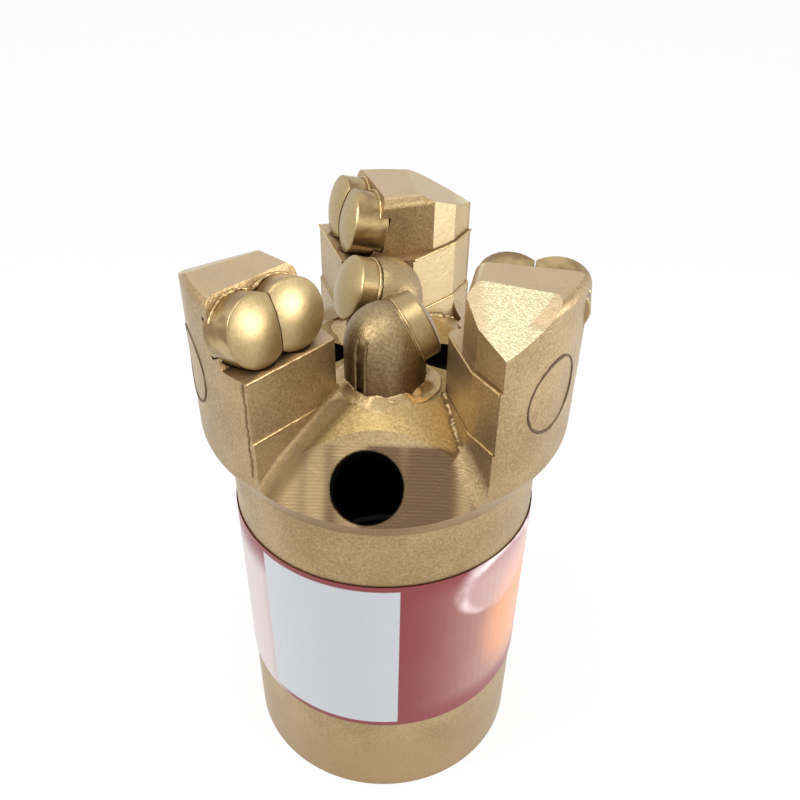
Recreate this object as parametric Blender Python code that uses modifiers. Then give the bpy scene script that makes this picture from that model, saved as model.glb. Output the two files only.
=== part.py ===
"""A three-wing PDC drill bit for water well and quarry holes.

A turned steel body is milled into three wings. Each wing carries two domed
cutters in brazed pockets and a flush button in its gauge side, and two
posts in the middle carry one cutter each. The shank has a tapered box for
the drill string, and three water holes leave its chamber. The bit stands
on the open end of its shank, with its axis upright. The first wing points to
the front left and the others follow at equal angles, counterclockwise. All is
built round the axis, then moved so that the middle of its foot is the origin.
"""

import math

import bmesh
import bpy
from mathutils import Matrix, Vector

# Turned blank, in metres
HEAD_RADIUS = 0.0463
SHOULDER_STEP = 0.0063
SHANK_RADIUS = HEAD_RADIUS - SHOULDER_STEP
SHANK_LENGTH = 0.1040
SHANK_CHAMFER = 0.0010
SHOULDER_HEIGHT = 0.0116
SHOULDER_ANGLE = math.radians(32.0)
CROWN_CORNER = 0.0030

# Tapered box for the drill string, and the chamber above it
SHANK_WALL = 0.0100
BOX_TAPER = 0.0035
BOX_MOUTH_RADIUS = SHANK_RADIUS - SHANK_WALL
BOX_END_RADIUS = BOX_MOUTH_RADIUS - BOX_TAPER
BOX_DEPTH = 0.0620
BOX_CHAMFER = 0.0015
CHAMBER_RADIUS = 0.0140
CHAMBER_ROOF = 0.0338
CHAMBER_TIP_HEIGHT = 0.0050

# Crown between the wings, with its floor above the shank and its slopes' foot below the floor
CROWN_RISE = 0.0238
FLOOR_KNEE_RADIUS = 0.0224
FLOOR_KNEE_DROP = 0.0006
FLOOR_ANGLE = math.radians(26.0)
SLOPE_FOOT_INSET = 0.0032
SLOPE_FOOT_REACH = HEAD_RADIUS - SLOPE_FOOT_INSET
SLOPE_FOOT_DROP = 0.0186
SLOPE_ANGLE = math.radians(45.0)
SLOPE_TURN = math.radians(40.0)
FRONT_FILLET = 0.0030
HEEL_FILLET = 0.0060

# Wings, each seen with U outwards along it and N towards its leading side
WING_COUNT = 3
WING_RISE = 0.0300
FIRST_WING_ANGLE = math.radians(226.5)
WING_FRONT = 0.0040
WING_INNER_END = 0.0214
WING_STEP = 0.0005
WING_INNER_ROUND = 0.0030
TOP_STRIP_END = 0.0179
HEEL_TURN = math.radians(-9.0)
HEEL_SLOPE = math.radians(25.0)
# The heel's corners as shares of the head's radius, from the inner end outwards
HEEL_SHARES = ((0.387, -0.279), (0.542, -0.581), (0.682, -0.726))

# Cutters: a round compact with a domed face
CUTTER_RADIUS = 0.0080
CUTTER_LENGTH = 0.0085
CUTTER_DOME = 0.0016
CUTTER_EDGE = 0.0003
CUTTER_RAKE = math.radians(14.5)
OUTER_SIDE_RAKE = math.radians(2.0)
INNER_SIDE_RAKE = math.radians(-4.5)
CUTTER_PITCH = 0.0097
CUTTER_PROUD = 0.0003
CUTTER_STAND = 0.0004
CUTTER_FACE_OFFSET = 0.0009
CUTTER_EXPOSURE = 0.0058

# Posts in the middle, and their cutters
POST_RADIUS = 0.0096
POST_OFFSET = 0.0114
POST_DOME_RISE = 0.0098
POST_SOCKET_DEPTH = 0.0100
POST_CUTTER_TURN = math.radians(19.5)
POST_CUTTER_LIFT = math.radians(22.0)
POST_CUTTER_REACH = 0.0102
POST_CUTTER_LENGTH = 0.0080
POST_GROOVE_WIDTH = 0.0022
POST_GROOVE_DEPTH = 0.0009
POST_GROOVE_HEIGHT = 0.0090
POST_GROOVE_TURN = math.radians(-37.0)

# Gauge buttons
BUTTON_RADIUS = 0.0087
BUTTON_DEPTH = 0.0050
BUTTON_DROP = 0.0225
BUTTON_TURN = math.radians(-26.0)

# Water holes: the large one leaves the front slope, the small ones the floor
SLOPE_HOLE_RADIUS = 0.0083
SLOPE_HOLE_RISE = 0.0063
SLOPE_HOLE_ASIDE = 0.0021
SLOPE_HOLE_CHAMFER = 0.0004
FLOOR_HOLE_RADIUS = 0.0050
FLOOR_HOLE_REACH = 0.0144
FLOOR_HOLE_ANGLES = (math.radians(0.0), math.radians(177.0))
FLOOR_HOLE_LEAN = math.radians(12.0)

# Label round the shank
LABEL_FOOT = 0.0317
LABEL_TOP_MARGIN = 0.0169
LABEL_THICKNESS = 0.00015
LABEL_GAP = 0.00025

# Clearance of a brazed piece in its seat, and how far a cut runs past a face
SEAT_GAP = 0.0003
OVERRUN = 0.0040

# Facets of the turned surfaces
TURNED_STEPS = 96
ROUND_STEPS = 32
ARC_STEPS = 8
FILLET_STATIONS = 10

# Heights over the foot of the shank
GAUGE_FOOT = SHANK_LENGTH + SHOULDER_HEIGHT
FLOOR_CENTRE_HEIGHT = SHANK_LENGTH + CROWN_RISE
FLOOR_KNEE_HEIGHT = FLOOR_CENTRE_HEIGHT - FLOOR_KNEE_DROP
PLATE_FOOT_HEIGHT = FLOOR_KNEE_HEIGHT
SLOPE_FOOT_HEIGHT = FLOOR_CENTRE_HEIGHT - SLOPE_FOOT_DROP
CHAMBER_TOP = FLOOR_CENTRE_HEIGHT - CHAMBER_ROOF
WING_TOP = FLOOR_CENTRE_HEIGHT + WING_RISE
BUTTON_HEIGHT = WING_TOP - BUTTON_DROP
POST_DOME_HEIGHT = FLOOR_CENTRE_HEIGHT + POST_DOME_RISE
LABEL_TOP = SHANK_LENGTH - LABEL_TOP_MARGIN

WING_ANGLES = [FIRST_WING_ANGLE + math.tau * i / WING_COUNT for i in range(WING_COUNT)]
CUTTER_HEIGHT = WING_TOP + CUTTER_STAND - CUTTER_RADIUS * math.cos(CUTTER_RAKE)
LEDGE_HEIGHT = CUTTER_HEIGHT - CUTTER_RADIUS * math.cos(CUTTER_RAKE)
OUTER_CUTTER_REACH = HEAD_RADIUS + CUTTER_PROUD - CUTTER_RADIUS
INNER_CUTTER_REACH = OUTER_CUTTER_REACH - CUTTER_PITCH
POST_ANGLES = (math.radians(270.0), math.radians(90.0))
SLOT_ANGLES = [angle + SLOPE_TURN for angle in WING_ANGLES]


# Materials and collections

def material(name, colour, roughness, metallic):
    made = bpy.data.materials.new(name)
    made.use_nodes = True
    shader = made.node_tree.nodes["Principled BSDF"]
    shader.inputs["Base Color"].default_value = (*colour, 1.0)
    shader.inputs["Roughness"].default_value = roughness
    shader.inputs["Metallic"].default_value = metallic
    made.diffuse_color = (*colour, 1.0)
    return made


def new_collection(name):
    made = bpy.data.collections.new(name)
    bpy.context.scene.collection.children.link(made)
    return made


def clear_scene():
    for thing in list(bpy.data.objects):
        bpy.data.objects.remove(thing, do_unlink=True)


def add_object(name, mesh, collection):
    thing = bpy.data.objects.new(name, mesh)
    collection.objects.link(thing)
    return thing


def as_cutter(thing):
    thing.hide_render = True
    thing.display_type = "WIRE"
    return thing


# Shapes

def turned(name, profile, collection, steps=TURNED_STEPS):
    """A profile of (radius, height) points, outer side from top to bottom, turned about Z."""
    mesh = bpy.data.meshes.new(name)
    points = [(radius, 0.0, height) for radius, height in profile]
    edges = [(i, i + 1) for i in range(len(points) - 1)]
    mesh.from_pydata(points, edges, [])
    thing = add_object(name, mesh, collection)
    screw = thing.modifiers.new("turn", "SCREW")
    screw.steps = steps
    screw.render_steps = steps
    screw.use_merge_vertices = True
    screw.merge_threshold = 0.000001
    return thing


def prism(name, outline, bottom, top, collection):
    """A flat outline raised from one height to another."""
    curve = bpy.data.curves.new(name, "CURVE")
    curve.dimensions = "2D"
    curve.fill_mode = "BOTH"
    curve.extrude = (top - bottom) / 2
    spline = curve.splines.new("POLY")
    spline.points.add(len(outline) - 1)
    for point, (x, y) in zip(spline.points, outline):
        point.co = (x, y, 0.0, 1.0)
    spline.use_cyclic_u = True
    source = add_object(name + "_outline", curve, collection)
    source.location.z = (top + bottom) / 2
    return mesh_from(source, name, collection)


def mesh_from(source, name, collection):
    """The source as its modifiers leave it, as a welded mesh object in the same place."""
    bpy.context.view_layer.update()
    graph = bpy.context.evaluated_depsgraph_get()
    mesh = bpy.data.meshes.new_from_object(source.evaluated_get(graph))
    welded = bmesh.new()
    welded.from_mesh(mesh)
    bmesh.ops.remove_doubles(welded, verts=welded.verts, dist=1e-7)
    bmesh.ops.recalc_face_normals(welded, faces=welded.faces)
    welded.to_mesh(mesh)
    welded.free()
    thing = add_object(name, mesh, collection)
    thing.matrix_world = source.matrix_world.copy()
    bpy.data.objects.remove(source, do_unlink=True)
    thing.name = name
    return thing


def rod(name, radius, start, end, collection, steps=ROUND_STEPS):
    """A round bar between two points."""
    start, end = Vector(start), Vector(end)
    made = bmesh.new()
    bmesh.ops.create_cone(
        made,
        cap_ends=True,
        segments=steps,
        radius1=radius,
        radius2=radius,
        depth=(end - start).length,
    )
    mesh = bpy.data.meshes.new(name)
    made.to_mesh(mesh)
    made.free()
    thing = add_object(name, mesh, collection)
    turn = (end - start).to_track_quat("Z", "Y").to_matrix().to_4x4()
    thing.matrix_world = Matrix.Translation((start + end) / 2) @ turn
    return thing


def loft(name, sections, collection):
    """A closed body through sections that hold the same number of points."""
    made = bmesh.new()
    rings = [[made.verts.new(point) for point in section] for section in sections]
    count = len(rings[0])
    for ring, following in zip(rings, rings[1:]):
        for i in range(count):
            j = (i + 1) % count
            made.faces.new((ring[i], ring[j], following[j], following[i]))
    made.faces.new(rings[0])
    made.faces.new(rings[-1])
    bmesh.ops.recalc_face_normals(made, faces=made.faces)
    mesh = bpy.data.meshes.new(name)
    made.to_mesh(mesh)
    made.free()
    return add_object(name, mesh, collection)


def boolean(thing, other, operation):
    change = thing.modifiers.new(operation.lower() + "_" + other.name, "BOOLEAN")
    change.operation = operation
    change.solver = "EXACT"
    change.object = other


def cut(thing, *others):
    """All the others taken from the thing in one step."""
    group = bpy.data.collections.new(thing.name + "_cuts")
    for other in others:
        group.objects.link(other)
    change = thing.modifiers.new("cut_all", "BOOLEAN")
    change.operation = "DIFFERENCE"
    change.solver = "EXACT"
    change.operand_type = "COLLECTION"
    change.collection = group


def smooth(thing, angle=math.radians(16.0)):
    thing.data.shade_smooth()
    thing.data.set_sharp_from_angle(angle=angle)


def finish(thing, name, parts, look):
    """The thing as a plain mesh with its modifiers carried out, in the parts collection."""
    made = mesh_from(thing, name, parts)
    made.data.materials.clear()
    made.data.materials.append(look)
    smooth(made)
    return made


# Geometry helpers

def polar(radius, angle):
    return radius * math.cos(angle), radius * math.sin(angle)


def arc(centre, radius, start, end, steps=ARC_STEPS):
    """Points on an arc, both ends included."""
    turns = [start + (end - start) * i / steps for i in range(steps + 1)]
    return [(centre[0] + radius * math.cos(t), centre[1] + radius * math.sin(t)) for t in turns]


def grown(outline, step):
    """The outline of a convex shape, counterclockwise, with every side moved out by a step."""
    sides = []
    for (ax, ay), (bx, by) in zip(outline, outline[1:] + outline[:1]):
        along = Vector((bx - ax, by - ay)).normalized()
        out = Vector((along.y, -along.x))
        sides.append((Vector((ax, ay)) + out * step, along))
    corners = []
    for (p, d), (q, e) in zip(sides[-1:] + sides[:-1], sides):
        cross = d.x * e.y - d.y * e.x
        along = ((q.x - p.x) * e.y - (q.y - p.y) * e.x) / cross
        corners.append(tuple(p + d * along))
    return corners


def wing_frame(angle):
    """U points out along the wing and N to its leading side."""
    return Matrix.Rotation(angle, 4, "Z")


# Turned blank with its box and chamber

def shoulder_points():
    """The shoulder, from the gauge side down to the shank: an arc that runs into a cone."""
    width = HEAD_RADIUS - SHANK_RADIUS
    cosine = math.cos(SHOULDER_ANGLE)
    radius = (SHOULDER_HEIGHT * math.tan(SHOULDER_ANGLE) - width) * cosine / (1 - cosine)
    points = arc((HEAD_RADIUS - radius, GAUGE_FOOT), radius, 0.0, -SHOULDER_ANGLE)
    return points + [(SHANK_RADIUS, SHANK_LENGTH)]


def make_blank(cutters):
    flat = HEAD_RADIUS - CROWN_CORNER
    outer = [(0.0, WING_TOP + OVERRUN), (flat, WING_TOP + OVERRUN)]
    outer += arc((flat, WING_TOP - CROWN_CORNER), CROWN_CORNER, math.pi / 2, 0.0)
    outer += shoulder_points()
    outer += [(SHANK_RADIUS, SHANK_CHAMFER), (SHANK_RADIUS - SHANK_CHAMFER, 0.0)]
    inner = [
        (BOX_MOUTH_RADIUS + BOX_CHAMFER, 0.0),
        (BOX_MOUTH_RADIUS, BOX_CHAMFER),
        (BOX_END_RADIUS, BOX_DEPTH),
        (CHAMBER_RADIUS, BOX_DEPTH),
        (CHAMBER_RADIUS, CHAMBER_TOP),
        (0.0, CHAMBER_TOP + CHAMBER_TIP_HEIGHT),
    ]
    return turned("bit_blank", outer + inner, cutters)


# Wings

def wing_plan(step):
    """The wing seen from above, with its sides moved out by a step, past the gauge side."""
    far = HEAD_RADIUS + OVERRUN * 3
    inner, knee, outer = [(u * HEAD_RADIUS, n * HEAD_RADIUS) for u, n in HEEL_SHARES]
    stretch = 1 + OVERRUN * 3 / (HEAD_RADIUS - math.hypot(*knee))
    end = [k + (o - k) * stretch for k, o in zip(knee, outer)]
    outline = [(WING_INNER_END, WING_FRONT), inner, knee, tuple(end)]
    outline += [(far, end[1]), (far, WING_FRONT)]
    return grown(outline, step)


def wing_top_outline():
    """The wing's head seen along N: flat on top, with a round inner corner."""
    foot = LEDGE_HEIGHT - OVERRUN
    far = HEAD_RADIUS + OVERRUN * 2
    corner = (WING_INNER_END + WING_INNER_ROUND, WING_TOP - WING_INNER_ROUND)
    outline = [(far, foot), (far, WING_TOP)]
    outline += arc(corner, WING_INNER_ROUND, math.pi / 2, math.pi)
    return outline + [(WING_INNER_END, foot)]


def wing_front_outline():
    """The space in front of the seats seen along U, which leans with the cutters."""
    seat = Vector((CUTTER_FACE_OFFSET, CUTTER_HEIGHT)) - cutter_side_axis() * CUTTER_EXPOSURE
    lean = math.tan(CUTTER_RAKE)
    low = LEDGE_HEIGHT - OVERRUN * 2
    high = WING_TOP + OVERRUN
    far = WING_FRONT + OVERRUN
    return [
        (seat.x + (seat.y - low) * lean, low),
        (far + (seat.y - low) * lean, low),
        (far, high),
        (seat.x - (high - seat.y) * lean, high),
    ]


def heel_outline():
    """The space above the heel, seen along the heel's own upper edge."""
    far = HEAD_RADIUS * 2
    drop = (far - TOP_STRIP_END) * math.tan(HEEL_SLOPE)
    return [
        (-far, WING_TOP - drop),
        (-TOP_STRIP_END, WING_TOP),
        (-TOP_STRIP_END, WING_TOP + OVERRUN),
        (-far, WING_TOP + OVERRUN),
    ]


def cutter_side_axis():
    """The direction that a wing cutter faces, as (N, Z)."""
    return Vector((math.cos(CUTTER_RAKE), math.sin(CUTTER_RAKE)))


def along_wing(name, outline, turn, cutters):
    """A prism whose (N, Z) outline runs along U, turned about Z where the outer cutter sits."""
    reach = HEAD_RADIUS * 2
    made = prism(name, outline, -reach, reach, cutters)
    upright = Matrix(((0, 0, 1, 0), (1, 0, 0, 0), (0, 1, 0, 0), (0, 0, 0, 1)))
    pivot = Matrix.Translation((OUTER_CUTTER_REACH, 0.0, 0.0))
    swing = pivot @ Matrix.Rotation(turn, 4, "Z") @ pivot.inverted()
    made.matrix_world = swing @ upright
    return as_cutter(made)


def make_wing_head(cutters):
    """The part of a wing above its ledge."""
    reach = HEAD_RADIUS * 2
    foot = LEDGE_HEIGHT - OVERRUN * 2
    head = prism("wing_head", wing_plan(0.0), foot, WING_TOP + OVERRUN * 2, cutters)
    across = prism("wing_head_top", wing_top_outline(), -reach, reach, cutters)
    across.matrix_world = Matrix.Rotation(math.pi / 2, 4, "X")
    boolean(head, as_cutter(across), "INTERSECT")
    cut(head, along_wing("wing_head_front", wing_front_outline(), 0.0, cutters))
    cut(head, along_wing("wing_head_heel", heel_outline(), HEEL_TURN, cutters))
    return as_cutter(head)


def crown_height(point):
    """The height of the floor or of the nearest slope, in a wing's frame, fillets left out."""
    radius = point.length
    heights = [FLOOR_KNEE_HEIGHT - (radius - FLOOR_KNEE_RADIUS) * math.tan(FLOOR_ANGLE)]
    for number in range(WING_COUNT):
        facing_slot = Vector(polar(1.0, SLOPE_TURN + math.tau * number / WING_COUNT))
        short = SLOPE_FOOT_REACH - point.dot(facing_slot)
        heights.append(SLOPE_FOOT_HEIGHT + short * math.tan(SLOPE_ANGLE))
    return min(heights)


def make_foot_fillet(name, start, end, radius, cutters):
    """A hollow fillet between the crown and a wing's wall, from start to past the gauge side."""
    start, end = Vector(start), Vector(end)
    along = (end - start).normalized()
    out = Vector((along.y, -along.x))
    length = (end - start).length
    turns = [math.pi / 2 * i / ARC_STEPS for i in range(ARC_STEPS + 1)]
    bend = [(radius * (1 - math.cos(t)), radius * (1 - math.sin(t))) for t in turns]
    rows = [(-OVERRUN, -OVERRUN), (-OVERRUN, radius)] + bend + [(radius, -OVERRUN)]
    sections = []
    for i in range(FILLET_STATIONS + 1):
        foot = start + along * length * i / FILLET_STATIONS
        section = []
        for distance, rise in rows:
            point = foot + out * distance
            section.append((*point, crown_height(point) + rise))
        sections.append(section)
    return as_cutter(loft(name, sections, cutters))


def make_wing(cutters):
    """One whole wing in its own frame, from inside the crown to its top."""
    foot = SLOPE_FOOT_HEIGHT - OVERRUN * 2
    plan = wing_plan(WING_STEP * 2)
    low = prism("wing_low", plan, foot, PLATE_FOOT_HEIGHT, cutters)
    middle = prism("wing_middle", wing_plan(WING_STEP), foot - OVERRUN, LEDGE_HEIGHT, cutters)
    boolean(low, as_cutter(middle), "UNION")
    boolean(low, make_wing_head(cutters), "UNION")
    front = make_foot_fillet("front_fillet", plan[-1], plan[0], FRONT_FILLET, cutters)
    heel = make_foot_fillet("heel_fillet", plan[2], plan[3], HEEL_FILLET, cutters)
    boolean(low, front, "UNION")
    boolean(low, heel, "UNION")
    return mesh_from(low, "wing", cutters)


def make_slope_waste(name, angle, cutters):
    """The space above one milled slope, which faces outwards between two wings."""
    reach = HEAD_RADIUS * 2
    rise = reach * math.tan(SLOPE_ANGLE)
    top = WING_TOP + OVERRUN * 3
    inner = SLOPE_FOOT_REACH - (top - SLOPE_FOOT_HEIGHT) / math.tan(SLOPE_ANGLE)
    outline = [
        (SLOPE_FOOT_REACH + reach, SLOPE_FOOT_HEIGHT - rise),
        (SLOPE_FOOT_REACH + reach, top),
        (inner, top),
    ]
    wedge = prism(name, outline, -HEAD_RADIUS, HEAD_RADIUS, cutters)
    wedge.matrix_world = Matrix.Rotation(angle, 4, "Z") @ Matrix.Rotation(math.pi / 2, 4, "X")
    return as_cutter(wedge)


def make_crown_waste(wing, cutters):
    """What is milled away above the floor and the slopes, with the three wings left out."""
    far = HEAD_RADIUS + OVERRUN
    top = WING_TOP + OVERRUN * 2
    edge = FLOOR_KNEE_HEIGHT - (far - FLOOR_KNEE_RADIUS) * math.tan(FLOOR_ANGLE)
    profile = [(0.0, top), (far, top), (far, edge)]
    profile += [(FLOOR_KNEE_RADIUS, FLOOR_KNEE_HEIGHT), (0.0, FLOOR_CENTRE_HEIGHT)]
    waste = turned("crown_waste", profile, cutters)
    for number, angle in enumerate(SLOT_ANGLES, 1):
        boolean(waste, make_slope_waste(f"slope_{number}_waste", angle, cutters), "UNION")
    kept = []
    for number, angle in enumerate(WING_ANGLES, 1):
        copy = as_cutter(add_object(f"wing_{number}_kept", wing.data, cutters))
        copy.matrix_world = wing_frame(angle) @ wing.matrix_world
        kept.append(copy)
    cut(waste, *kept)
    return as_cutter(waste)


# Cutters of the wings and of the posts

def cutter_profile(length):
    """A domed compact with its face rim at height zero, facing up."""
    edge = CUTTER_RADIUS - CUTTER_EDGE
    radius = (edge**2 + CUTTER_DOME**2) / (2 * CUTTER_DOME)
    half = math.asin(edge / radius)
    dome = arc((0.0, CUTTER_DOME - radius), radius, math.pi / 2, math.pi / 2 - half)
    dome[0] = (0.0, CUTTER_DOME)
    return dome + [
        (CUTTER_RADIUS, -CUTTER_EDGE),
        (CUTTER_RADIUS, -length + CUTTER_EDGE),
        (edge, -length),
        (0.0, -length),
    ]


def facing(point, direction):
    """A place at a point, with Z turned to a direction."""
    turn = Vector(direction).to_track_quat("Z", "Y").to_matrix().to_4x4()
    return Matrix.Translation(point) @ turn


def wing_cutter_place(reach, side_rake, wing_angle):
    """The place of a wing cutter's face, with Z along the way it faces."""
    side = cutter_side_axis()
    face = Vector((0.0, side.x, side.y))
    across = Vector((1.0, 0.0, 0.0))
    turn = Matrix((across, face.cross(across), face)).transposed().to_4x4()
    swing = Matrix.Rotation(side_rake, 4, "Z")
    centre = Matrix.Translation((reach, CUTTER_FACE_OFFSET, CUTTER_HEIGHT))
    return wing_frame(wing_angle) @ centre @ swing @ turn


def seat_cutter(name, place, radius, length, cutters):
    """A round pocket behind a face at a place, open towards the front."""
    start = place @ Vector((0.0, 0.0, CUTTER_DOME + OVERRUN))
    end = place @ Vector((0.0, 0.0, -length - SEAT_GAP))
    return as_cutter(rod(name, radius + SEAT_GAP, start, end, cutters))


def make_compact(name, place, length, parts, cutters, look, beside=None):
    source = turned(name + "_source", cutter_profile(length), cutters, ROUND_STEPS)
    source.matrix_world = place
    if beside:
        cut(source, beside)
    return finish(source, name, parts, look)


def make_side_cut(name, wing_angle, side, cutters):
    """What is ground off a cutter where its neighbour stands, on the side given as 1 or -1."""
    middle = (OUTER_CUTTER_REACH + INNER_CUTTER_REACH) / 2
    near = middle - side * SEAT_GAP / 2
    far = middle + side * HEAD_RADIUS
    reach = HEAD_RADIUS
    outline = [(near, -reach), (far, -reach), (far, reach), (near, reach)]
    flat = prism(name, outline, LEDGE_HEIGHT - reach, WING_TOP + reach, cutters)
    flat.matrix_world = wing_frame(wing_angle) @ flat.matrix_world
    return as_cutter(flat)


def make_wing_cutters(number, wing_angle, parts, cutters, look):
    """Both cutters of one wing, ground flat where they meet, and the pockets for them."""
    seats = []
    pair = (
        ("outer", OUTER_CUTTER_REACH, OUTER_SIDE_RAKE, -1),
        ("inner", INNER_CUTTER_REACH, INNER_SIDE_RAKE, 1),
    )
    for label, reach, side_rake, side in pair:
        name = f"wing_{number}_{label}_cutter"
        place = wing_cutter_place(reach, side_rake, wing_angle)
        flat = make_side_cut(name + "_flat", wing_angle, side, cutters)
        make_compact(name, place, CUTTER_LENGTH, parts, cutters, look, flat)
        seats.append(seat_cutter(name + "_seat", place, CUTTER_RADIUS, CUTTER_LENGTH, cutters))
    return seats


# Posts in the middle

def post_profile():
    foot = FLOOR_CENTRE_HEIGHT - POST_SOCKET_DEPTH + SEAT_GAP
    dome = arc((0.0, POST_DOME_HEIGHT), POST_RADIUS, math.pi / 2, 0.0, ARC_STEPS)
    dome[0] = (0.0, POST_DOME_HEIGHT + POST_RADIUS)
    return dome + [(POST_RADIUS, foot), (0.0, foot)]


def post_cutter_place(angle):
    turn = angle + math.pi / 2 + POST_CUTTER_TURN
    direction = Vector((
        math.cos(turn) * math.cos(POST_CUTTER_LIFT),
        math.sin(turn) * math.cos(POST_CUTTER_LIFT),
        math.sin(POST_CUTTER_LIFT),
    ))
    centre = Vector((*polar(POST_OFFSET, angle), POST_DOME_HEIGHT))
    return facing(centre + direction * POST_CUTTER_REACH, direction)


def make_post_groove(name, angle, cutters):
    """A narrow upright groove in the post's outer side, which marks its turn in the socket."""
    turn = angle + POST_GROOVE_TURN
    x, y = polar(POST_OFFSET, angle)
    half = POST_GROOVE_WIDTH / 2
    outline = [
        (POST_RADIUS - POST_GROOVE_DEPTH, -half),
        (POST_RADIUS + OVERRUN, -half),
        (POST_RADIUS + OVERRUN, half),
        (POST_RADIUS - POST_GROOVE_DEPTH, half),
    ]
    top = FLOOR_CENTRE_HEIGHT + POST_GROOVE_HEIGHT
    groove = prism(name, outline, FLOOR_CENTRE_HEIGHT, top, cutters)
    place = Matrix.Translation((x, y, 0.0)) @ Matrix.Rotation(turn, 4, "Z")
    groove.matrix_world = place @ groove.matrix_world
    return as_cutter(groove)


def make_post(number, angle, parts, cutters, post_look, cutter_look):
    """A domed post with its cutter, and the room that the body gives both."""
    x, y = polar(POST_OFFSET, angle)
    place = post_cutter_place(angle)
    post = turned(f"pilot_post_{number}_source", post_profile(), cutters, ROUND_STEPS)
    post.location = (x, y, 0.0)
    pocket = seat_cutter(
        f"pilot_pocket_{number}", place, CUTTER_RADIUS, POST_CUTTER_LENGTH, cutters
    )
    cut(post, pocket, make_post_groove(f"pilot_groove_{number}", angle, cutters))
    finish(post, f"pilot_post_{number}", parts, post_look)
    make_compact(
        f"pilot_cutter_{number}", place, POST_CUTTER_LENGTH, parts, cutters, cutter_look
    )
    bottom = FLOOR_CENTRE_HEIGHT - POST_SOCKET_DEPTH
    top = POST_DOME_HEIGHT + POST_RADIUS + OVERRUN
    name = f"pilot_socket_{number}"
    socket = rod(name, POST_RADIUS + SEAT_GAP, (x, y, bottom), (x, y, top), cutters)
    return [as_cutter(socket), pocket]


# Gauge buttons

def make_gauge_button(number, wing_angle, parts, cutters, look):
    """A button flush with the gauge side, and the pocket that the body gives it."""
    out = Vector((*polar(1.0, wing_angle + BUTTON_TURN), 0.0))
    height = Vector((0.0, 0.0, BUTTON_HEIGHT))
    back = height + out * (HEAD_RADIUS - BUTTON_DEPTH)
    far = height + out * (HEAD_RADIUS + OVERRUN)
    button = rod(f"gauge_button_{number}_source", BUTTON_RADIUS, back, far, cutters)
    side = [
        (0.0, WING_TOP),
        (HEAD_RADIUS, WING_TOP),
        (HEAD_RADIUS, GAUGE_FOOT),
        (0.0, GAUGE_FOOT),
    ]
    boolean(button, as_cutter(turned(f"gauge_side_{number}", side, cutters)), "INTERSECT")
    finish(button, f"gauge_button_{number}", parts, look)
    seat = back - out * SEAT_GAP
    name = f"gauge_pocket_{number}"
    return as_cutter(rod(name, BUTTON_RADIUS + SEAT_GAP, seat, far, cutters))


# Water holes

def make_slope_hole(cutters):
    """The large hole, square to the front slope, with a chamfered mouth."""
    slot = Matrix.Rotation(SLOT_ANGLES[0], 4, "Z")
    reach = SLOPE_FOOT_REACH - SLOPE_HOLE_RISE / math.tan(SLOPE_ANGLE)
    mouth = slot @ Vector((reach, -SLOPE_HOLE_ASIDE, SLOPE_FOOT_HEIGHT + SLOPE_HOLE_RISE))
    out = slot @ Vector((math.sin(SLOPE_ANGLE), 0.0, math.cos(SLOPE_ANGLE)))
    depth = reach / math.sin(SLOPE_ANGLE)
    flare = SLOPE_HOLE_RADIUS + SLOPE_HOLE_CHAMFER
    profile = [
        (0.0, OVERRUN),
        (flare, OVERRUN),
        (flare, SLOPE_HOLE_CHAMFER / 2),
        (SLOPE_HOLE_RADIUS, -SLOPE_HOLE_CHAMFER),
        (SLOPE_HOLE_RADIUS, -depth),
        (0.0, -depth),
    ]
    hole = turned("slope_water_hole", profile, cutters, ROUND_STEPS)
    hole.matrix_world = facing(mouth, out)
    return as_cutter(hole)


def make_floor_hole(number, angle, cutters):
    """A small hole that leans in from the floor to the chamber."""
    inner = FLOOR_HOLE_REACH - (FLOOR_CENTRE_HEIGHT - CHAMBER_TOP) * math.tan(FLOOR_HOLE_LEAN)
    top = Vector((*polar(FLOOR_HOLE_REACH, angle), FLOOR_CENTRE_HEIGHT))
    bottom = Vector((*polar(inner, angle), CHAMBER_TOP))
    lift = (top - bottom).normalized() * OVERRUN
    name = f"floor_water_hole_{number}"
    return as_cutter(rod(name, FLOOR_HOLE_RADIUS, bottom - lift, top + lift, cutters))


# Label

def make_label(parts, cutters, look):
    inner = SHANK_RADIUS + LABEL_GAP
    outer = inner + LABEL_THICKNESS
    foot, top = LABEL_FOOT, LABEL_TOP
    ring = [(outer, top), (outer, foot), (inner, foot), (inner, top), (outer, top)]
    return finish(turned("label_source", ring, cutters), "label", parts, look)


# Whole bit

def make_body(seats, parts, cutters, look):
    blank = make_blank(cutters)
    cut(blank, make_crown_waste(as_cutter(make_wing(cutters)), cutters))
    holes = [make_slope_hole(cutters)]
    for number, angle in enumerate(FLOOR_HOLE_ANGLES, 1):
        holes.append(make_floor_hole(number, angle, cutters))
    cut(blank, *holes, *seats)
    return finish(blank, "bit_body", parts, look)


def stand_on_origin(parts):
    """All pieces moved as one, so that the middle of the bit's outer box is over the origin."""
    corners = []
    for thing in parts.objects:
        corners += [thing.matrix_world @ vertex.co for vertex in thing.data.vertices]
    middle = [(min(c[i] for c in corners) + max(c[i] for c in corners)) / 2 for i in range(2)]
    step = Matrix.Translation((-middle[0], -middle[1], 0.0))
    for thing in parts.objects:
        thing.matrix_world = step @ thing.matrix_world


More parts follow.
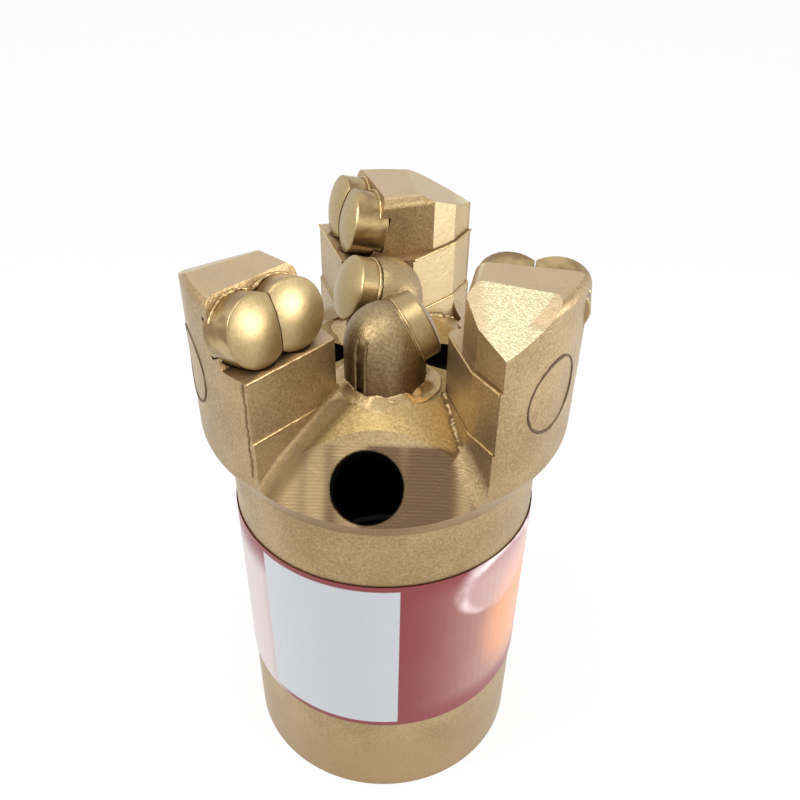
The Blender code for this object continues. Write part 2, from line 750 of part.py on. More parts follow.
def main():
    clear_scene()
    parts = new_collection("pdc_drill_bit")
    cutters = new_collection("cutting_shapes")
    gold = material("gold_painted_steel", (0.52, 0.38, 0.17), 0.45, 0.75)
    bright_gold = material("gold_painted_cutter", (0.62, 0.47, 0.24), 0.30, 0.80)
    print_look = material("printed_label", (0.80, 0.78, 0.80), 0.35, 0.0)
    seats = []
    for number, angle in enumerate(WING_ANGLES, 1):
        seats += make_wing_cutters(number, angle, parts, cutters, bright_gold)
        seats.append(make_gauge_button(number, angle, parts, cutters, bright_gold))
    for number, angle in enumerate(POST_ANGLES, 1):
        seats += make_post(number, angle, parts, cutters, gold, bright_gold)
    make_body(seats, parts, cutters, gold)
    make_label(parts, cutters, print_look)
    stand_on_origin(parts)


main()
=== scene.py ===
# %% [markdown]
# # A three-wing drill bit, dressed in Blender
#
# The steel parts of the bit come in as a fixed frame, already in their true
# size and place. This file adds what the frame leaves out: the paint, the
# printed sleeve, the braze round each cutter, the thread inside the shank,
# the light and the camera. Each step says first what it makes and why.

# %% Load the frame
import math

import bmesh
import bpy
from mathutils import Matrix, Vector, noise


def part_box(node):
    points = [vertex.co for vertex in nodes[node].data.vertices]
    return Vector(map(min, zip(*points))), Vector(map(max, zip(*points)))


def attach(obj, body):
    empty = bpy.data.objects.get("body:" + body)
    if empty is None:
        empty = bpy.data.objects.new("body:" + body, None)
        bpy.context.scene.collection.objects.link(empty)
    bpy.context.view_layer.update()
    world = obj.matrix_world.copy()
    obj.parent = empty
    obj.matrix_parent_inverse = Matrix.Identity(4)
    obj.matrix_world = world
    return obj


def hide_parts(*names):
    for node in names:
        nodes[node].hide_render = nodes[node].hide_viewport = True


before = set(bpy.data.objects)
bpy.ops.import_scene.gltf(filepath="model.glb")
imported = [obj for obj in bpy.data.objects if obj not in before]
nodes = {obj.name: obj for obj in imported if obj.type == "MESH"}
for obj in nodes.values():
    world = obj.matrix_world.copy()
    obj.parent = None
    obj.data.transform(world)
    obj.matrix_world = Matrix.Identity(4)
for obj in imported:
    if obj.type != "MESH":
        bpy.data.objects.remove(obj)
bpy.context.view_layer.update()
print("nodes:", ", ".join(sorted(nodes)))

# %% [markdown]
# ## Where the bit's axis stands
#
# The three wings make the bit's outer box lopsided, so its axis is a little
# off the origin. The sleeve is round and sits on the shank, so the middle of
# its box is the axis. Every piece below is placed from that point and from
# the same sizes that the steel was turned and milled to.

# %% Sizes of the bit, in metres
MM = 0.001
sleeve_low, sleeve_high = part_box("label")
AXIS = Vector(((sleeve_low.x + sleeve_high.x) / 2, (sleeve_low.y + sleeve_high.y) / 2, 0.0))
HEAD_RADIUS = 46.3 * MM
WING_TOP = 157.8 * MM
WING_TURNS = [math.radians(226.5 + 120.0 * i) for i in range(3)]
SLOT_TURN = math.radians(40.0)
FLOOR_HEIGHT = 127.8 * MM
KNEE_RADIUS, KNEE_HEIGHT, FLOOR_FALL = 22.4 * MM, 127.2 * MM, math.radians(26.0)
SLOPE_FOOT_REACH, SLOPE_FOOT_HEIGHT = 43.1 * MM, 109.2 * MM
CUTTER_RADIUS = 8.0 * MM
CUTTER_LEAN, CUTTER_PROUD = math.radians(14.5), 0.4 * MM
CUTTER_HEIGHT = WING_TOP + CUTTER_PROUD - CUTTER_RADIUS * math.cos(CUTTER_LEAN)
POST_TURNS = (math.radians(270.0), math.radians(90.0))
POST_RADIUS, POST_OFFSET, DOME_HEIGHT = 9.6 * MM, 11.4 * MM, 137.6 * MM
GROOVE_TURN = math.radians(-37.0)
print("axis at", tuple(round(v / MM, 2) for v in AXIS[:2]), "mm")


# %% Places round the axis
def turned(turn, *place):
    """A place or a direction, turned round the bit's axis."""
    return Matrix.Rotation(turn, 3, "Z") @ Vector(place)


def wing_point(turn, u, n, z):
    """A place on a wing: u out along it, n towards its cutters, z up."""
    return AXIS + turned(turn, u, n, z)


def post_foot(turn):
    """The middle of a post, at the height of the ground."""
    return AXIS + turned(turn, POST_OFFSET, 0.0, 0.0)


print("wings at", [round(math.degrees(turn) % 360.0, 1) for turn in WING_TURNS], "degrees")

# %% [markdown]
# ## The camera
#
# The photograph looks down on the bit from about forty degrees. The lens,
# the place and the tilt below were worked out from the ellipses of the shank
# and the corners of the wings, so that the render lies over the photograph.
# The small lens shift keeps the bit where the picture has it.

# %% Camera
CAMERA_PLACE = Vector((-0.00256, -0.17924, 0.23736))
CAMERA_TILT, CAMERA_ROLL = 51.904, -0.198
scene = bpy.context.scene
camera = bpy.data.objects.new("camera", bpy.data.cameras.new("camera"))
scene.collection.objects.link(camera)
camera.data.sensor_width = 36.0
camera.data.lens = 38.136
camera.data.shift_x, camera.data.shift_y = 0.0319, 0.0649
camera.data.clip_start = 0.01
tilt = Matrix.Rotation(math.radians(CAMERA_TILT), 4, "X")
roll = Matrix.Rotation(math.radians(CAMERA_ROLL), 4, "Z")
camera.matrix_world = Matrix.Translation(AXIS + CAMERA_PLACE) @ tilt @ roll
scene.camera = camera
scene.view_settings.view_transform = "Standard"
print("camera looks down at", round(90.0 - CAMERA_TILT, 1), "degrees")

# %% [markdown]
# ## Node helpers
#
# Materials are built as node trees, and small helpers keep their code short.
# One adds a node and sets or links its inputs, others do arithmetic with
# values and places. Another turns a value into a soft step between two
# limits, which is the usual way to draw a mask with a clean edge.


# %% Helpers for values
def put(tree, kind, inputs=None, **settings):
    """A new node, with its inputs set to values or linked to sockets."""
    made = tree.nodes.new(kind)
    for name, value in settings.items():
        setattr(made, name, value)
    for name, value in (inputs or {}).items():
        if isinstance(value, bpy.types.NodeSocket):
            tree.links.new(value, made.inputs[name])
        else:
            made.inputs[name].default_value = value
    return made


def calc(tree, operation, first, *others):
    """Arithmetic on one value, or on several from left to right."""
    if not others:
        return put(tree, "ShaderNodeMath", {0: first}, operation=operation).outputs[0]
    for other in others:
        made = put(tree, "ShaderNodeMath", {0: first, 1: other}, operation=operation)
        first = made.outputs[0]
    return first


def times(tree, *values):
    return calc(tree, "MULTIPLY", *values)


def soft_step(tree, value, low, high):
    inputs = {0: value, 1: low, 2: high}
    return put(tree, "ShaderNodeMapRange", inputs, interpolation_type="SMOOTHSTEP").outputs[0]


def between(tree, value, low, high, edge):
    rising = soft_step(tree, value, low - edge, low + edge)
    return times(tree, rising, soft_step(tree, value, high + edge, high - edge))


print("helpers for values ready")


# %% Helpers for places and colours
def vector_calc(tree, operation, *values):
    made = put(tree, "ShaderNodeVectorMath", dict(enumerate(values)), operation=operation)
    return made.outputs["Vector"]


def along(tree, place, direction):
    """How far a place lies along a direction."""
    inputs = {0: place, 1: direction}
    return put(tree, "ShaderNodeVectorMath", inputs, operation="DOT_PRODUCT").outputs["Value"]


def cloudy(tree, place, scale, detail=2.0, roughness=0.5, distortion=0.0):
    """Noise in the bit's own space, so that it never stretches."""
    inputs = {"Vector": place, "Scale": scale, "Detail": detail}
    inputs |= {"Roughness": roughness, "Distortion": distortion}
    return put(tree, "ShaderNodeTexNoise", inputs).outputs


def blend_colours(tree, share, first, second):
    inputs = {0: share, 6: first, 7: second}
    return put(tree, "ShaderNodeMix", inputs, data_type="RGBA").outputs[2]


print("helpers for places and colours ready")


# %% Helpers for shader groups
def new_group(name, inputs, outputs):
    """A shader group, with the sockets that its inside starts from and ends in."""
    tree = bpy.data.node_groups.new(name, "ShaderNodeTree")
    for way, sockets in (("INPUT", inputs), ("OUTPUT", outputs)):
        for title, kind in sockets:
            tree.interface.new_socket(title, in_out=way, socket_type="NodeSocket" + kind)
    entry = tree.nodes.new("NodeGroupInput")
    result = tree.nodes.new("NodeGroupOutput")
    return tree, entry.outputs, result.inputs


def use_group(tree, group, inputs):
    return put(tree, "ShaderNodeGroup", inputs, node_tree=group).outputs


print("helpers for shader groups ready")

# %% [markdown]
# ## Studio: white room, pale floor, soft lamps
#
# The picture shows the bit on a plain white ground. A white world could light
# everything, but then no side would be darker than another. So the world is
# full white only for rays that see it directly or in a reflection, and lights
# the bit more dimly. Large soft lamps give the paint its light and dark
# sides, and the floor stays close to white while it keeps a soft shadow.


# %% World
def seen_directly(tree):
    """1 for rays that go to the eye, straight or by way of gloss or glass."""
    path = tree.nodes.new("ShaderNodeLightPath").outputs
    kinds = ("Is Camera Ray", "Is Glossy Ray", "Is Transmission Ray")
    return calc(tree, "MAXIMUM", *(path[kind] for kind in kinds))


ROOM_LIGHT = 0.70
world = bpy.data.worlds.new("white_room")
scene.world = world
world.use_nodes = True
sky = world.node_tree
level = calc(sky, "ADD", times(sky, seen_directly(sky), 1.0 - ROOM_LIGHT), ROOM_LIGHT)
sky.nodes["Background"].inputs["Color"].default_value = (1.0, 1.0, 1.0, 1.0)
sky.links.new(level, sky.nodes["Background"].inputs["Strength"])
print("world lights at", ROOM_LIGHT)

# %% Lamps: place, height of the point aimed at, size and power
LAMPS = {
    "lamp_left": ((-0.46, -0.16, 0.50), 0.12, 0.26, 2.3),
    "lamp_right": ((0.50, -0.24, 0.28), 0.12, 0.28, 1.8),
    "lamp_low": ((0.46, -0.04, 0.12), 0.13, 0.22, 0.6),
    "lamp_above": ((-0.05, -0.10, 0.70), 0.14, 0.30, 0.8),
}
for name, (place, aim, size, power) in LAMPS.items():
    lamp = bpy.data.lights.new(name, "AREA")
    lamp.shape, lamp.size, lamp.energy = "DISK", size, power
    thing = bpy.data.objects.new(name, lamp)
    scene.collection.objects.link(thing)
    thing.location = place
    way = Vector((0.0, 0.0, aim)) - Vector(place)
    thing.rotation_euler = way.to_track_quat("-Z", "Y").to_euler()
print(len(LAMPS), "lamps")

# %% Floor
FLOOR_HALF = 3.0
FLOOR_WHITE, FLOOR_GLOW = (0.90, 0.90, 0.90, 1.0), 0.90
floor_mesh = bpy.data.meshes.new("floor")
corners = [(x * FLOOR_HALF, y * FLOOR_HALF, 0.0) for x, y in ((-1, -1), (1, -1), (1, 1), (-1, 1))]
floor_mesh.from_pydata(corners, [], [(0, 1, 2, 3)])
floor = bpy.data.objects.new("floor", floor_mesh)
scene.collection.objects.link(floor)
floor_look = bpy.data.materials.new("pale_floor")
floor_look.use_nodes = True
tree = floor_look.node_tree
shader = tree.nodes["Principled BSDF"]
shader.inputs["Base Color"].default_value = FLOOR_WHITE
shader.inputs["Roughness"].default_value = 0.8
white = put(tree, "ShaderNodeEmission", {"Color": (1.0, 1.0, 1.0, 1.0), "Strength": 1.0})
both = put(tree, "ShaderNodeMixShader", {0: times(tree, seen_directly(tree), FLOOR_GLOW)})
tree.links.new(shader.outputs[0], both.inputs[1])
tree.links.new(white.outputs[0], both.inputs[2])
tree.links.new(both.outputs[0], tree.nodes["Material Output"].inputs["Surface"])
floor_mesh.materials.append(floor_look)
print("floor", FLOOR_HALF * 2, "m wide")

# %% [markdown]
# ## Places on the bit as a shader group
#
# Several finishes follow the bit's shape: the print runs round the sleeve, and
# the paint changes with height. Both need to know where a point lies round
# the axis. This group turns a place into an angle, a height and a distance
# from the axis.

# %% Round the axis
around_axis, given, result = new_group(
    "around_axis",
    [("Place", "Vector"), ("Axis", "Vector")],
    [("Angle", "Float"), ("Height", "Float"), ("Radius", "Float")],
)
tree = around_axis
away = vector_calc(tree, "SUBTRACT", given["Place"], given["Axis"])
x, y, z = put(tree, "ShaderNodeSeparateXYZ", {0: away}).outputs
tree.links.new(calc(tree, "ARCTAN2", x, times(tree, y, -1.0)), result["Angle"])
tree.links.new(z, result["Height"])
squares = calc(tree, "ADD", calc(tree, "POWER", x, 2.0), calc(tree, "POWER", y, 2.0))
tree.links.new(calc(tree, "SQRT", squares), result["Radius"])
print("group", tree.name)

# %% [markdown]
# ## Surface marks as shader groups
#
# The paint was sprayed on a steel that already had marks: a fine grain all
# over, blasted sand on the wings' backs, and the fine rows of a mill on the
# slopes. Painted pictures of these would stretch on such a form, so each is
# made from noise in the bit's own space, at its real scale, and gives a height
# for the bump and a tone. The sand's tone is painted glints, and the mill's is
# wide bands of painted reflection, the light and dark stripes that the slopes
# mirror from the room. A last group turns such a tone into a colour that
# lies unevenly between a dark and a light one.

# %% Sprayed grain
sprayed_grain, given, result = new_group(
    "sprayed_grain", [("Place", "Vector")], [("Height", "Float"), ("Tone", "Float")]
)
tree = sprayed_grain
fine = cloudy(tree, given["Place"], 1700.0, detail=3.0, roughness=0.65)[0]
orange_peel = cloudy(tree, given["Place"], 420.0)[0]
cloud = cloudy(tree, given["Place"], 60.0, detail=3.0)[0]
height = calc(tree, "ADD", times(tree, fine, 1.1), times(tree, orange_peel, 1.6))
tree.links.new(height, result["Height"])
tone = calc(tree, "ADD", times(tree, cloud, 0.40), times(tree, fine, 0.60))
tree.links.new(tone, result["Tone"])
print("group", tree.name)

# %% Blasted sand
blasted_sand, given, result = new_group(
    "blasted_sand", [("Place", "Vector")], [("Height", "Float"), ("Sparkle", "Float")]
)
tree = blasted_sand
pits = put(tree, "ShaderNodeTexVoronoi", {"Vector": given["Place"], "Scale": 2000.0})
lumps = cloudy(tree, given["Place"], 1500.0, detail=4.0, roughness=0.7)[0]
tree.links.new(calc(tree, "ADD", pits.outputs["Distance"], lumps), result["Height"])
glints = put(tree, "ShaderNodeTexVoronoi", {"Vector": given["Place"], "Scale": 2900.0})
shade = put(tree, "ShaderNodeSeparateXYZ", {0: glints.outputs["Color"]}).outputs[0]
tree.links.new(soft_step(tree, shade, 0.55, 0.95), result["Sparkle"])
print("group", tree.name)

# %% Rows of the mill
mill_rows, given, result = new_group(
    "mill_rows", [("Place", "Vector")], [("Height", "Float"), ("Reflected Bands", "Float")]
)
tree = mill_rows
stretched = vector_calc(tree, "MULTIPLY", given["Place"], (0.35, 1.0, 1.0))
rows = {"Vector": stretched, "Scale": 560.0, "Distortion": 1.6, "Detail": 2.0, "Detail Scale": 3.0}
rows = put(tree, "ShaderNodeTexWave", rows, bands_direction="Z").outputs["Fac"]
chatter = cloudy(tree, stretched, 900.0, detail=3.0)[0]
tree.links.new(calc(tree, "ADD", rows, chatter), result["Height"])
# The wide bands are painted reflection: light and dark stripes that the slopes mirror from the
# room.
wide = vector_calc(tree, "MULTIPLY", given["Place"], (1.0, 0.12, 0.12))
room_reflection = cloudy(tree, wide, 105.0, detail=1.5)[0]
tree.links.new(soft_step(tree, room_reflection, 0.40, 0.58), result["Reflected Bands"])
print("group", tree.name)

# %% Speckle
speckle, given, result = new_group(
    "speckle",
    [("Tone", "Float"), ("Low", "Float"), ("High", "Float"), ("Dark", "Color"), ("Light", "Color")],
    [("Colour", "Color")],
)
tree = speckle
share = soft_step(tree, given["Tone"], given["Low"], given["High"])
tree.links.new(blend_colours(tree, share, given["Dark"], given["Light"]), result["Colour"])
print("group", tree.name)

# %% [markdown]
# ## Painted shade in corners and inside the shank
#
# All the gold finishes turn browner in tight corners, as painted shade where
# little light reaches. And the light that falls through the open shank fades on
# its way up, which both the wall and the thread must show as painted shade.

# %% Tight corners
# Painted shade: Shade rises to 1 where ambient occlusion finds a tight corner.
corner_shade, given, result = new_group("corner_shade", [("Reach", "Float")], [("Shade", "Float")])
tree = corner_shade
hidden = put(tree, "ShaderNodeAmbientOcclusion", {"Distance": given["Reach"]}, samples=4)
tree.links.new(soft_step(tree, hidden.outputs["AO"], 0.85, 0.25), result["Shade"])
print("group", tree.name)

# %% Dark inside of the shank
DARK_FROM, DARK_TO = 36.0 * MM, 48.0 * MM
INSIDE_BLACK = (0.006, 0.005, 0.004, 1.0)
dark_inside, given, result = new_group(
    "dark_inside", [("Colour", "Color"), ("Height", "Float")], [("Colour", "Color")]
)
tree = dark_inside
deep = soft_step(tree, given["Height"], DARK_FROM, DARK_TO)
tree.links.new(blend_colours(tree, deep, given["Colour"], INSIDE_BLACK), result["Colour"])
print("group", tree.name)

# %% [markdown]
# ## Gold paint on the body
#
# The whole bit was sprayed with a satin gold paint that holds metal dust. A
# metal shader with a fairly rough surface gives its soft sheen. The faces
# that the mill and the blaster left rough are found by their own slope and
# height, so that no mask has to be painted by hand.

# %% Shared parts of the finishes
CORNER_SHADE_BROWN = (0.235, 0.142, 0.066, 1.0)


def new_finish(name, roughness, metallic):
    """A material, its node tree, its shader and the place on the bit."""
    made = bpy.data.materials.new(name)
    made.use_nodes = True
    shader = made.node_tree.nodes["Principled BSDF"]
    shader.inputs["Roughness"].default_value = roughness
    shader.inputs["Metallic"].default_value = metallic
    place = made.node_tree.nodes.new("ShaderNodeTexCoord").outputs["Object"]
    return made, made.node_tree, shader, place


def tinted(tree, colour, share, strength, tint):
    """The colour, with a tint laid over part of it."""
    return blend_colours(tree, times(tree, share, strength), colour, tint)


def speckled(tree, tone, low, high, dark, light):
    inputs = {"Tone": tone, "Low": low, "High": high, "Dark": dark, "Light": light}
    return use_group(tree, speckle, inputs)["Colour"]


# Painted shade: a brown laid over the colour in tight corners.
def shade_corners_brown(tree, colour, reach, strength):
    shade = use_group(tree, corner_shade, {"Reach": reach})["Shade"]
    return tinted(tree, colour, shade, strength, CORNER_SHADE_BROWN)


def bump(tree, shader, height, distance):
    made = put(tree, "ShaderNodeBump", {"Height": height, "Distance": distance, "Strength": 1.0})
    tree.links.new(made.outputs[0], shader.inputs["Normal"])


print("brown of the corners", CORNER_SHADE_BROWN[:3])

# %% Body paint: the wings' heels, by slope and height
LEDGE = (134.0 * MM, 136.0 * MM)
LEANING, NOT_LEVEL = (0.78, 0.84), (0.97, 0.93)
RIGHT_WING = (18.0 * MM, 22.0 * MM)
CORNER_OUT, CORNER_UP = (42.9 * MM, 43.3 * MM), (153.6 * MM, 154.4 * MM)
OTHER_WINGS_BLASTED = 0.12
body_paint, tree, shader, place = new_finish("satin_gold_paint", 0.40, 0.88)
around = use_group(tree, around_axis, {"Place": place, "Axis": AXIS})
level, reach = around["Height"], around["Radius"]
away = vector_calc(tree, "SUBTRACT", place, AXIS)
facing = tree.nodes.new("ShaderNodeNewGeometry").outputs["Normal"]
upward = put(tree, "ShaderNodeSeparateXYZ", {0: facing}).outputs["Z"]
above_ledge = soft_step(tree, level, *LEDGE)
leaning = soft_step(tree, upward, *LEANING)
right_wing = soft_step(tree, along(tree, place, (1.0, 0.0, 0.0)), *RIGHT_WING)
blasted = times(tree, right_wing, 1.0 - OTHER_WINGS_BLASTED)
blasted = calc(tree, "ADD", OTHER_WINGS_BLASTED, blasted)
corner = times(tree, soft_step(tree, reach, *CORNER_OUT), soft_step(tree, level, *CORNER_UP))
blasted = times(tree, blasted, calc(tree, "SUBTRACT", 1.0, corner))
heel = times(tree, leaning, soft_step(tree, upward, *NOT_LEVEL), above_ledge, blasted)
print("mask for the heels")

# %% Body paint: slopes, hollows at the wings' feet and upright faces
BELOW_FLOOR, PAST_FLOOR = (128.5 * MM, 127.5 * MM), (29.6 * MM, 30.6 * MM)
SLANTED, NOT_UPRIGHT, UPRIGHT = (0.50, 0.60), (0.04, 0.14), (0.12, 0.04)
HOLLOW_OUT, HOLLOW_NEAR = (15.0 * MM, 18.0 * MM), (4.7 * MM, 5.6 * MM)
HOLLOW_FAR = (10.5 * MM, 8.0 * MM)
HEAD_FOOT = (104.0 * MM, 110.0 * MM)
below_floor = soft_step(tree, level, *BELOW_FLOOR)
slot_reach, hollow = 0.0, 0.0
for turn in WING_TURNS:
    slot_way = turned(turn + SLOT_TURN, 1.0, 0.0, 0.0)
    slot_reach = calc(tree, "MAXIMUM", slot_reach, along(tree, away, slot_way))
    out_there = soft_step(tree, along(tree, away, turned(turn, 1.0, 0.0, 0.0)), *HOLLOW_OUT)
    lead = along(tree, away, turned(turn, 0.0, 1.0, 0.0))
    strip = times(tree, soft_step(tree, lead, *HOLLOW_NEAR), soft_step(tree, lead, *HOLLOW_FAR))
    hollow = calc(tree, "MAXIMUM", hollow, times(tree, strip, out_there))
past_floor = soft_step(tree, slot_reach, *PAST_FLOOR)
slope = times(tree, soft_step(tree, upward, *SLANTED), past_floor, below_floor)
hollow = times(tree, hollow, soft_step(tree, upward, *NOT_UPRIGHT), below_floor)
upright = times(tree, soft_step(tree, upward, *UPRIGHT), soft_step(tree, level, *HEAD_FOOT))
print("masks for slopes, hollows and upright faces")

# %% [markdown]
# ### Colours of the body
#
# The paint isn't one gold. The floor is more yellow, the milled slopes are
# darker, with bands of painted reflection, and the hollows are browned with
# painted shade. The shank turns browner towards its foot, painted shade near
# the ground. The heels and other faces that lean up above the ledge, and the
# back wing's inner face, are paler: painted light on faces turned to the lamps.
# Each tone is laid over the one before, through its own mask.

# %% Body paint: colours of floor, slopes and hollows
GOLD, DARK_GOLD = (0.49, 0.355, 0.19, 1.0), (0.315, 0.216, 0.102, 1.0)
FLOOR_GOLD, FLOOR_DARK = (0.430, 0.310, 0.122, 1.0), (0.275, 0.194, 0.072, 1.0)
MILLED_REFLECTION_LIGHT, MILLED_REFLECTION_DARK = (0.39, 0.275, 0.140, 1.0), (0.150, 0.093, 0.050, 1.0)
HOLLOW_SHADE_BROWN, SHANK_FOOT_SHADE_BROWN = (0.20, 0.132, 0.060, 1.0), (0.39, 0.255, 0.118, 1.0)
SHANK_FOOT = (34.0 * MM, 12.0 * MM)
grain = use_group(tree, sprayed_grain, {"Place": place})
sand = use_group(tree, blasted_sand, {"Place": place})
rows = use_group(tree, mill_rows, {"Place": place})
colour = speckled(tree, grain["Tone"], 0.37, 0.63, DARK_GOLD, GOLD)
level_floor = times(tree, below_floor, soft_step(tree, upward, 0.80, 0.88))
floor_tone = speckled(tree, grain["Tone"], 0.37, 0.63, FLOOR_DARK, FLOOR_GOLD)
colour = tinted(tree, colour, level_floor, 0.80, floor_tone)
# Painted reflection: the milled slopes' light and dark bands.
reflection_banded = blend_colours(tree, rows["Reflected Bands"], MILLED_REFLECTION_DARK, MILLED_REFLECTION_LIGHT)
colour = blend_colours(tree, slope, colour, reflection_banded)
# Painted shade: the hollows at the wings' feet are browned, which also dims their highlight.
colour = tinted(tree, colour, hollow, 0.55, HOLLOW_SHADE_BROWN)
# Painted shade: the shank turns browner towards its foot, near the ground.
colour = tinted(tree, colour, soft_step(tree, level, *SHANK_FOOT), 0.6, SHANK_FOOT_SHADE_BROWN)
print("gold", GOLD[:3])

# %% Body paint: colours of heels, corners and the wall inside the shank
LIT_HEEL_GOLD, LIT_INNER_GOLD = (0.58, 0.445, 0.275, 1.0), (0.66, 0.52, 0.30, 1.0)
SAND_PALE, SAND_DULL = (0.76, 0.71, 0.48, 1.0), (0.57, 0.50, 0.31, 1.0)
WALL_GREY, WALL_REACH, WALL_TOP = (0.30, 0.28, 0.26, 1.0), 31.4 * MM, 62.5 * MM
BACK_WING_FACING, FACING_IT = (0.690, -0.724, 0.0), (0.93, 0.98)
INSIDE_HEAD, WING_FOOT = (45.2 * MM, 44.8 * MM), (118.0 * MM, 120.0 * MM)
BACK_HALF = (8.0 * MM, 12.0 * MM)
# Painted light: faces that lean up above the ledge are paler.
colour = tinted(tree, colour, times(tree, leaning, above_ledge), 0.6, LIT_HEEL_GOLD)
# Painted light: the back wing's inner face, turned to the lamps, is paler.
inner = soft_step(tree, along(tree, facing, BACK_WING_FACING), *FACING_IT)
inner = times(tree, inner, soft_step(tree, reach, *INSIDE_HEAD), soft_step(tree, level, *WING_FOOT))
towards_back = soft_step(tree, along(tree, place, (0.0, 1.0, 0.0)), *BACK_HALF)
colour = tinted(tree, colour, times(tree, inner, towards_back), 0.7, LIT_INNER_GOLD)
sandy = blend_colours(tree, sand["Sparkle"], SAND_DULL, SAND_PALE)
colour = blend_colours(tree, heel, colour, sandy)
colour = shade_corners_brown(tree, colour, 5.0 * MM, 0.75)
wall = calc(tree, "LESS_THAN", reach, WALL_REACH)
wall = times(tree, wall, calc(tree, "LESS_THAN", level, WALL_TOP))
wall_colour = use_group(tree, dark_inside, {"Colour": WALL_GREY, "Height": level})["Colour"]
colour = blend_colours(tree, wall, colour, wall_colour)
tree.links.new(colour, shader.inputs["Base Color"])
print("colours of the body laid on")

# %% Body paint: bump and shine
GRAIN_SHARE, SAND_SHARE, SCAR_SHARE, SLOPE_SHARE, UPRIGHT_SHARE = 0.60, 1.7, 2.2, 0.34, 0.10
PAINT_ROUGH, SAND_ROUGH, HOLLOW_ROUGH = 0.38, 0.10, 0.30
FORGED_HEAD = (103.0 * MM, 108.0 * MM)
scars = cloudy(tree, place, 190.0, detail=5.0, roughness=0.7, distortion=1.2)[0]
forged = soft_step(tree, level, *FORGED_HEAD)
milled = calc(tree, "ADD", times(tree, slope, SLOPE_SHARE), times(tree, upright, UPRIGHT_SHARE))
height = calc(
    tree, "ADD",
    times(tree, grain["Height"], GRAIN_SHARE),
    times(tree, sand["Height"], heel, SAND_SHARE),
    times(tree, scars, forged, SCAR_SHARE),
    times(tree, rows["Height"], milled),
)
bump(tree, shader, height, 0.055 * MM)
rough = calc(tree, "ADD", PAINT_ROUGH, times(tree, heel, SAND_ROUGH))
rough = calc(tree, "ADD", rough, times(tree, hollow, HOLLOW_ROUGH))
tree.links.new(rough, shader.inputs["Roughness"])
print("body paint ready")

# %% [markdown]
# ## Paint on cutters, buttons and posts
# The cutters are polished round compacts, so the same spray lies smoother and
# brighter on their domes. The barrels of the wings' cutters carry dark brown
# patches of painted reflection. The posts are turned and blasted, and turn
# browner low down in streaks, painted shade near the crown. Their grooves are
# darkest, with painted shade. Each gets a finish of its own, mixed from the
# same groups.

# %% Paint of cutters and barrels
DOME_GOLD, DOME_DARK = (0.485, 0.370, 0.190, 1.0), (0.35, 0.255, 0.120, 1.0)
cutter_paint, tree, shader, place = new_finish("bright_gold_paint", 0.36, 0.90)
grain = use_group(tree, sprayed_grain, {"Place": place})
colour = speckled(tree, grain["Tone"], 0.25, 0.80, DOME_DARK, DOME_GOLD)
colour = shade_corners_brown(tree, colour, 3.0 * MM, 0.85)
tree.links.new(colour, shader.inputs["Base Color"])
bump(tree, shader, grain["Height"], 0.022 * MM)

BARREL_GOLD, BARREL_DARK = (0.50, 0.37, 0.185, 1.0), (0.255, 0.168, 0.078, 1.0)
barrel_paint, tree, shader, place = new_finish("barrel_gold_paint", 0.30, 0.92)
grain = use_group(tree, sprayed_grain, {"Place": place})
# Painted reflection: the barrel's dark brown patches.
barrel_bands = cloudy(tree, vector_calc(tree, "MULTIPLY", place, (1.0, 1.0, 1.6)), 150.0)[0]
colour = speckled(tree, barrel_bands, 0.35, 0.65, BARREL_DARK, BARREL_GOLD)
colour = shade_corners_brown(tree, colour, 3.0 * MM, 0.85)
tree.links.new(colour, shader.inputs["Base Color"])
bump(tree, shader, grain["Height"], 0.025 * MM)
print("paint of cutters and barrels ready")

# %% Post paint: dome and foot
POST_GOLD, POST_DULL = (0.41, 0.305, 0.160, 1.0), (0.255, 0.180, 0.088, 1.0)
FOOT_SHADE_PALE, FOOT_SHADE_DARK = (0.215, 0.128, 0.058, 1.0), (0.125, 0.066, 0.028, 1.0)
post_paint, tree, shader, place = new_finish("post_gold_paint", 0.42, 0.88)
level = use_group(tree, around_axis, {"Place": place, "Axis": AXIS})["Height"]
grain = use_group(tree, sprayed_grain, {"Place": place})
# Painted shade: low down, the post turns browner in upright streaks.
low_down = soft_step(tree, level, 144.0 * MM, 129.0 * MM)
streaks = cloudy(tree, vector_calc(tree, "MULTIPLY", place, (1.0, 1.0, 0.2)), 260.0)[0]
shaded_low = times(tree, low_down, soft_step(tree, streaks, 0.15, 0.55))
dome_tone = speckled(tree, grain["Tone"], 0.38, 0.62, POST_DULL, POST_GOLD)
foot_tone = speckled(tree, grain["Tone"], 0.38, 0.62, FOOT_SHADE_DARK, FOOT_SHADE_PALE)
colour = blend_colours(tree, shaded_low, dome_tone, foot_tone)
colour = shade_corners_brown(tree, colour, 4.0 * MM, 0.85)
print("post paint, dome and foot")

# %% Post paint: the grooves
# Painted shade: the grooves are darkened.
GROOVE_SHADE_BROWN = (0.110, 0.058, 0.026, 1.0)
GROOVE_FRONT, GROOVE_EDGE = (5.0 * MM, 7.0 * MM), (1.25 * MM, 0.95 * MM)
GROOVE_TOP = (141.6 * MM, 140.4 * MM)
groove = 0.0
for turn in POST_TURNS:
    from_foot = vector_calc(tree, "SUBTRACT", place, post_foot(turn))
    outwards = along(tree, from_foot, turned(turn + GROOVE_TURN, 1.0, 0.0, 0.0))
    aside = along(tree, from_foot, turned(turn + GROOVE_TURN, 0.0, 1.0, 0.0))
    narrow = soft_step(tree, calc(tree, "ABSOLUTE", aside), *GROOVE_EDGE)
    in_front = soft_step(tree, outwards, *GROOVE_FRONT)
    groove = calc(tree, "MAXIMUM", groove, times(tree, in_front, narrow))
groove = times(tree, groove, soft_step(tree, level, *GROOVE_TOP))
tree.links.new(tinted(tree, colour, groove, 0.85, GROOVE_SHADE_BROWN), shader.inputs["Base Color"])
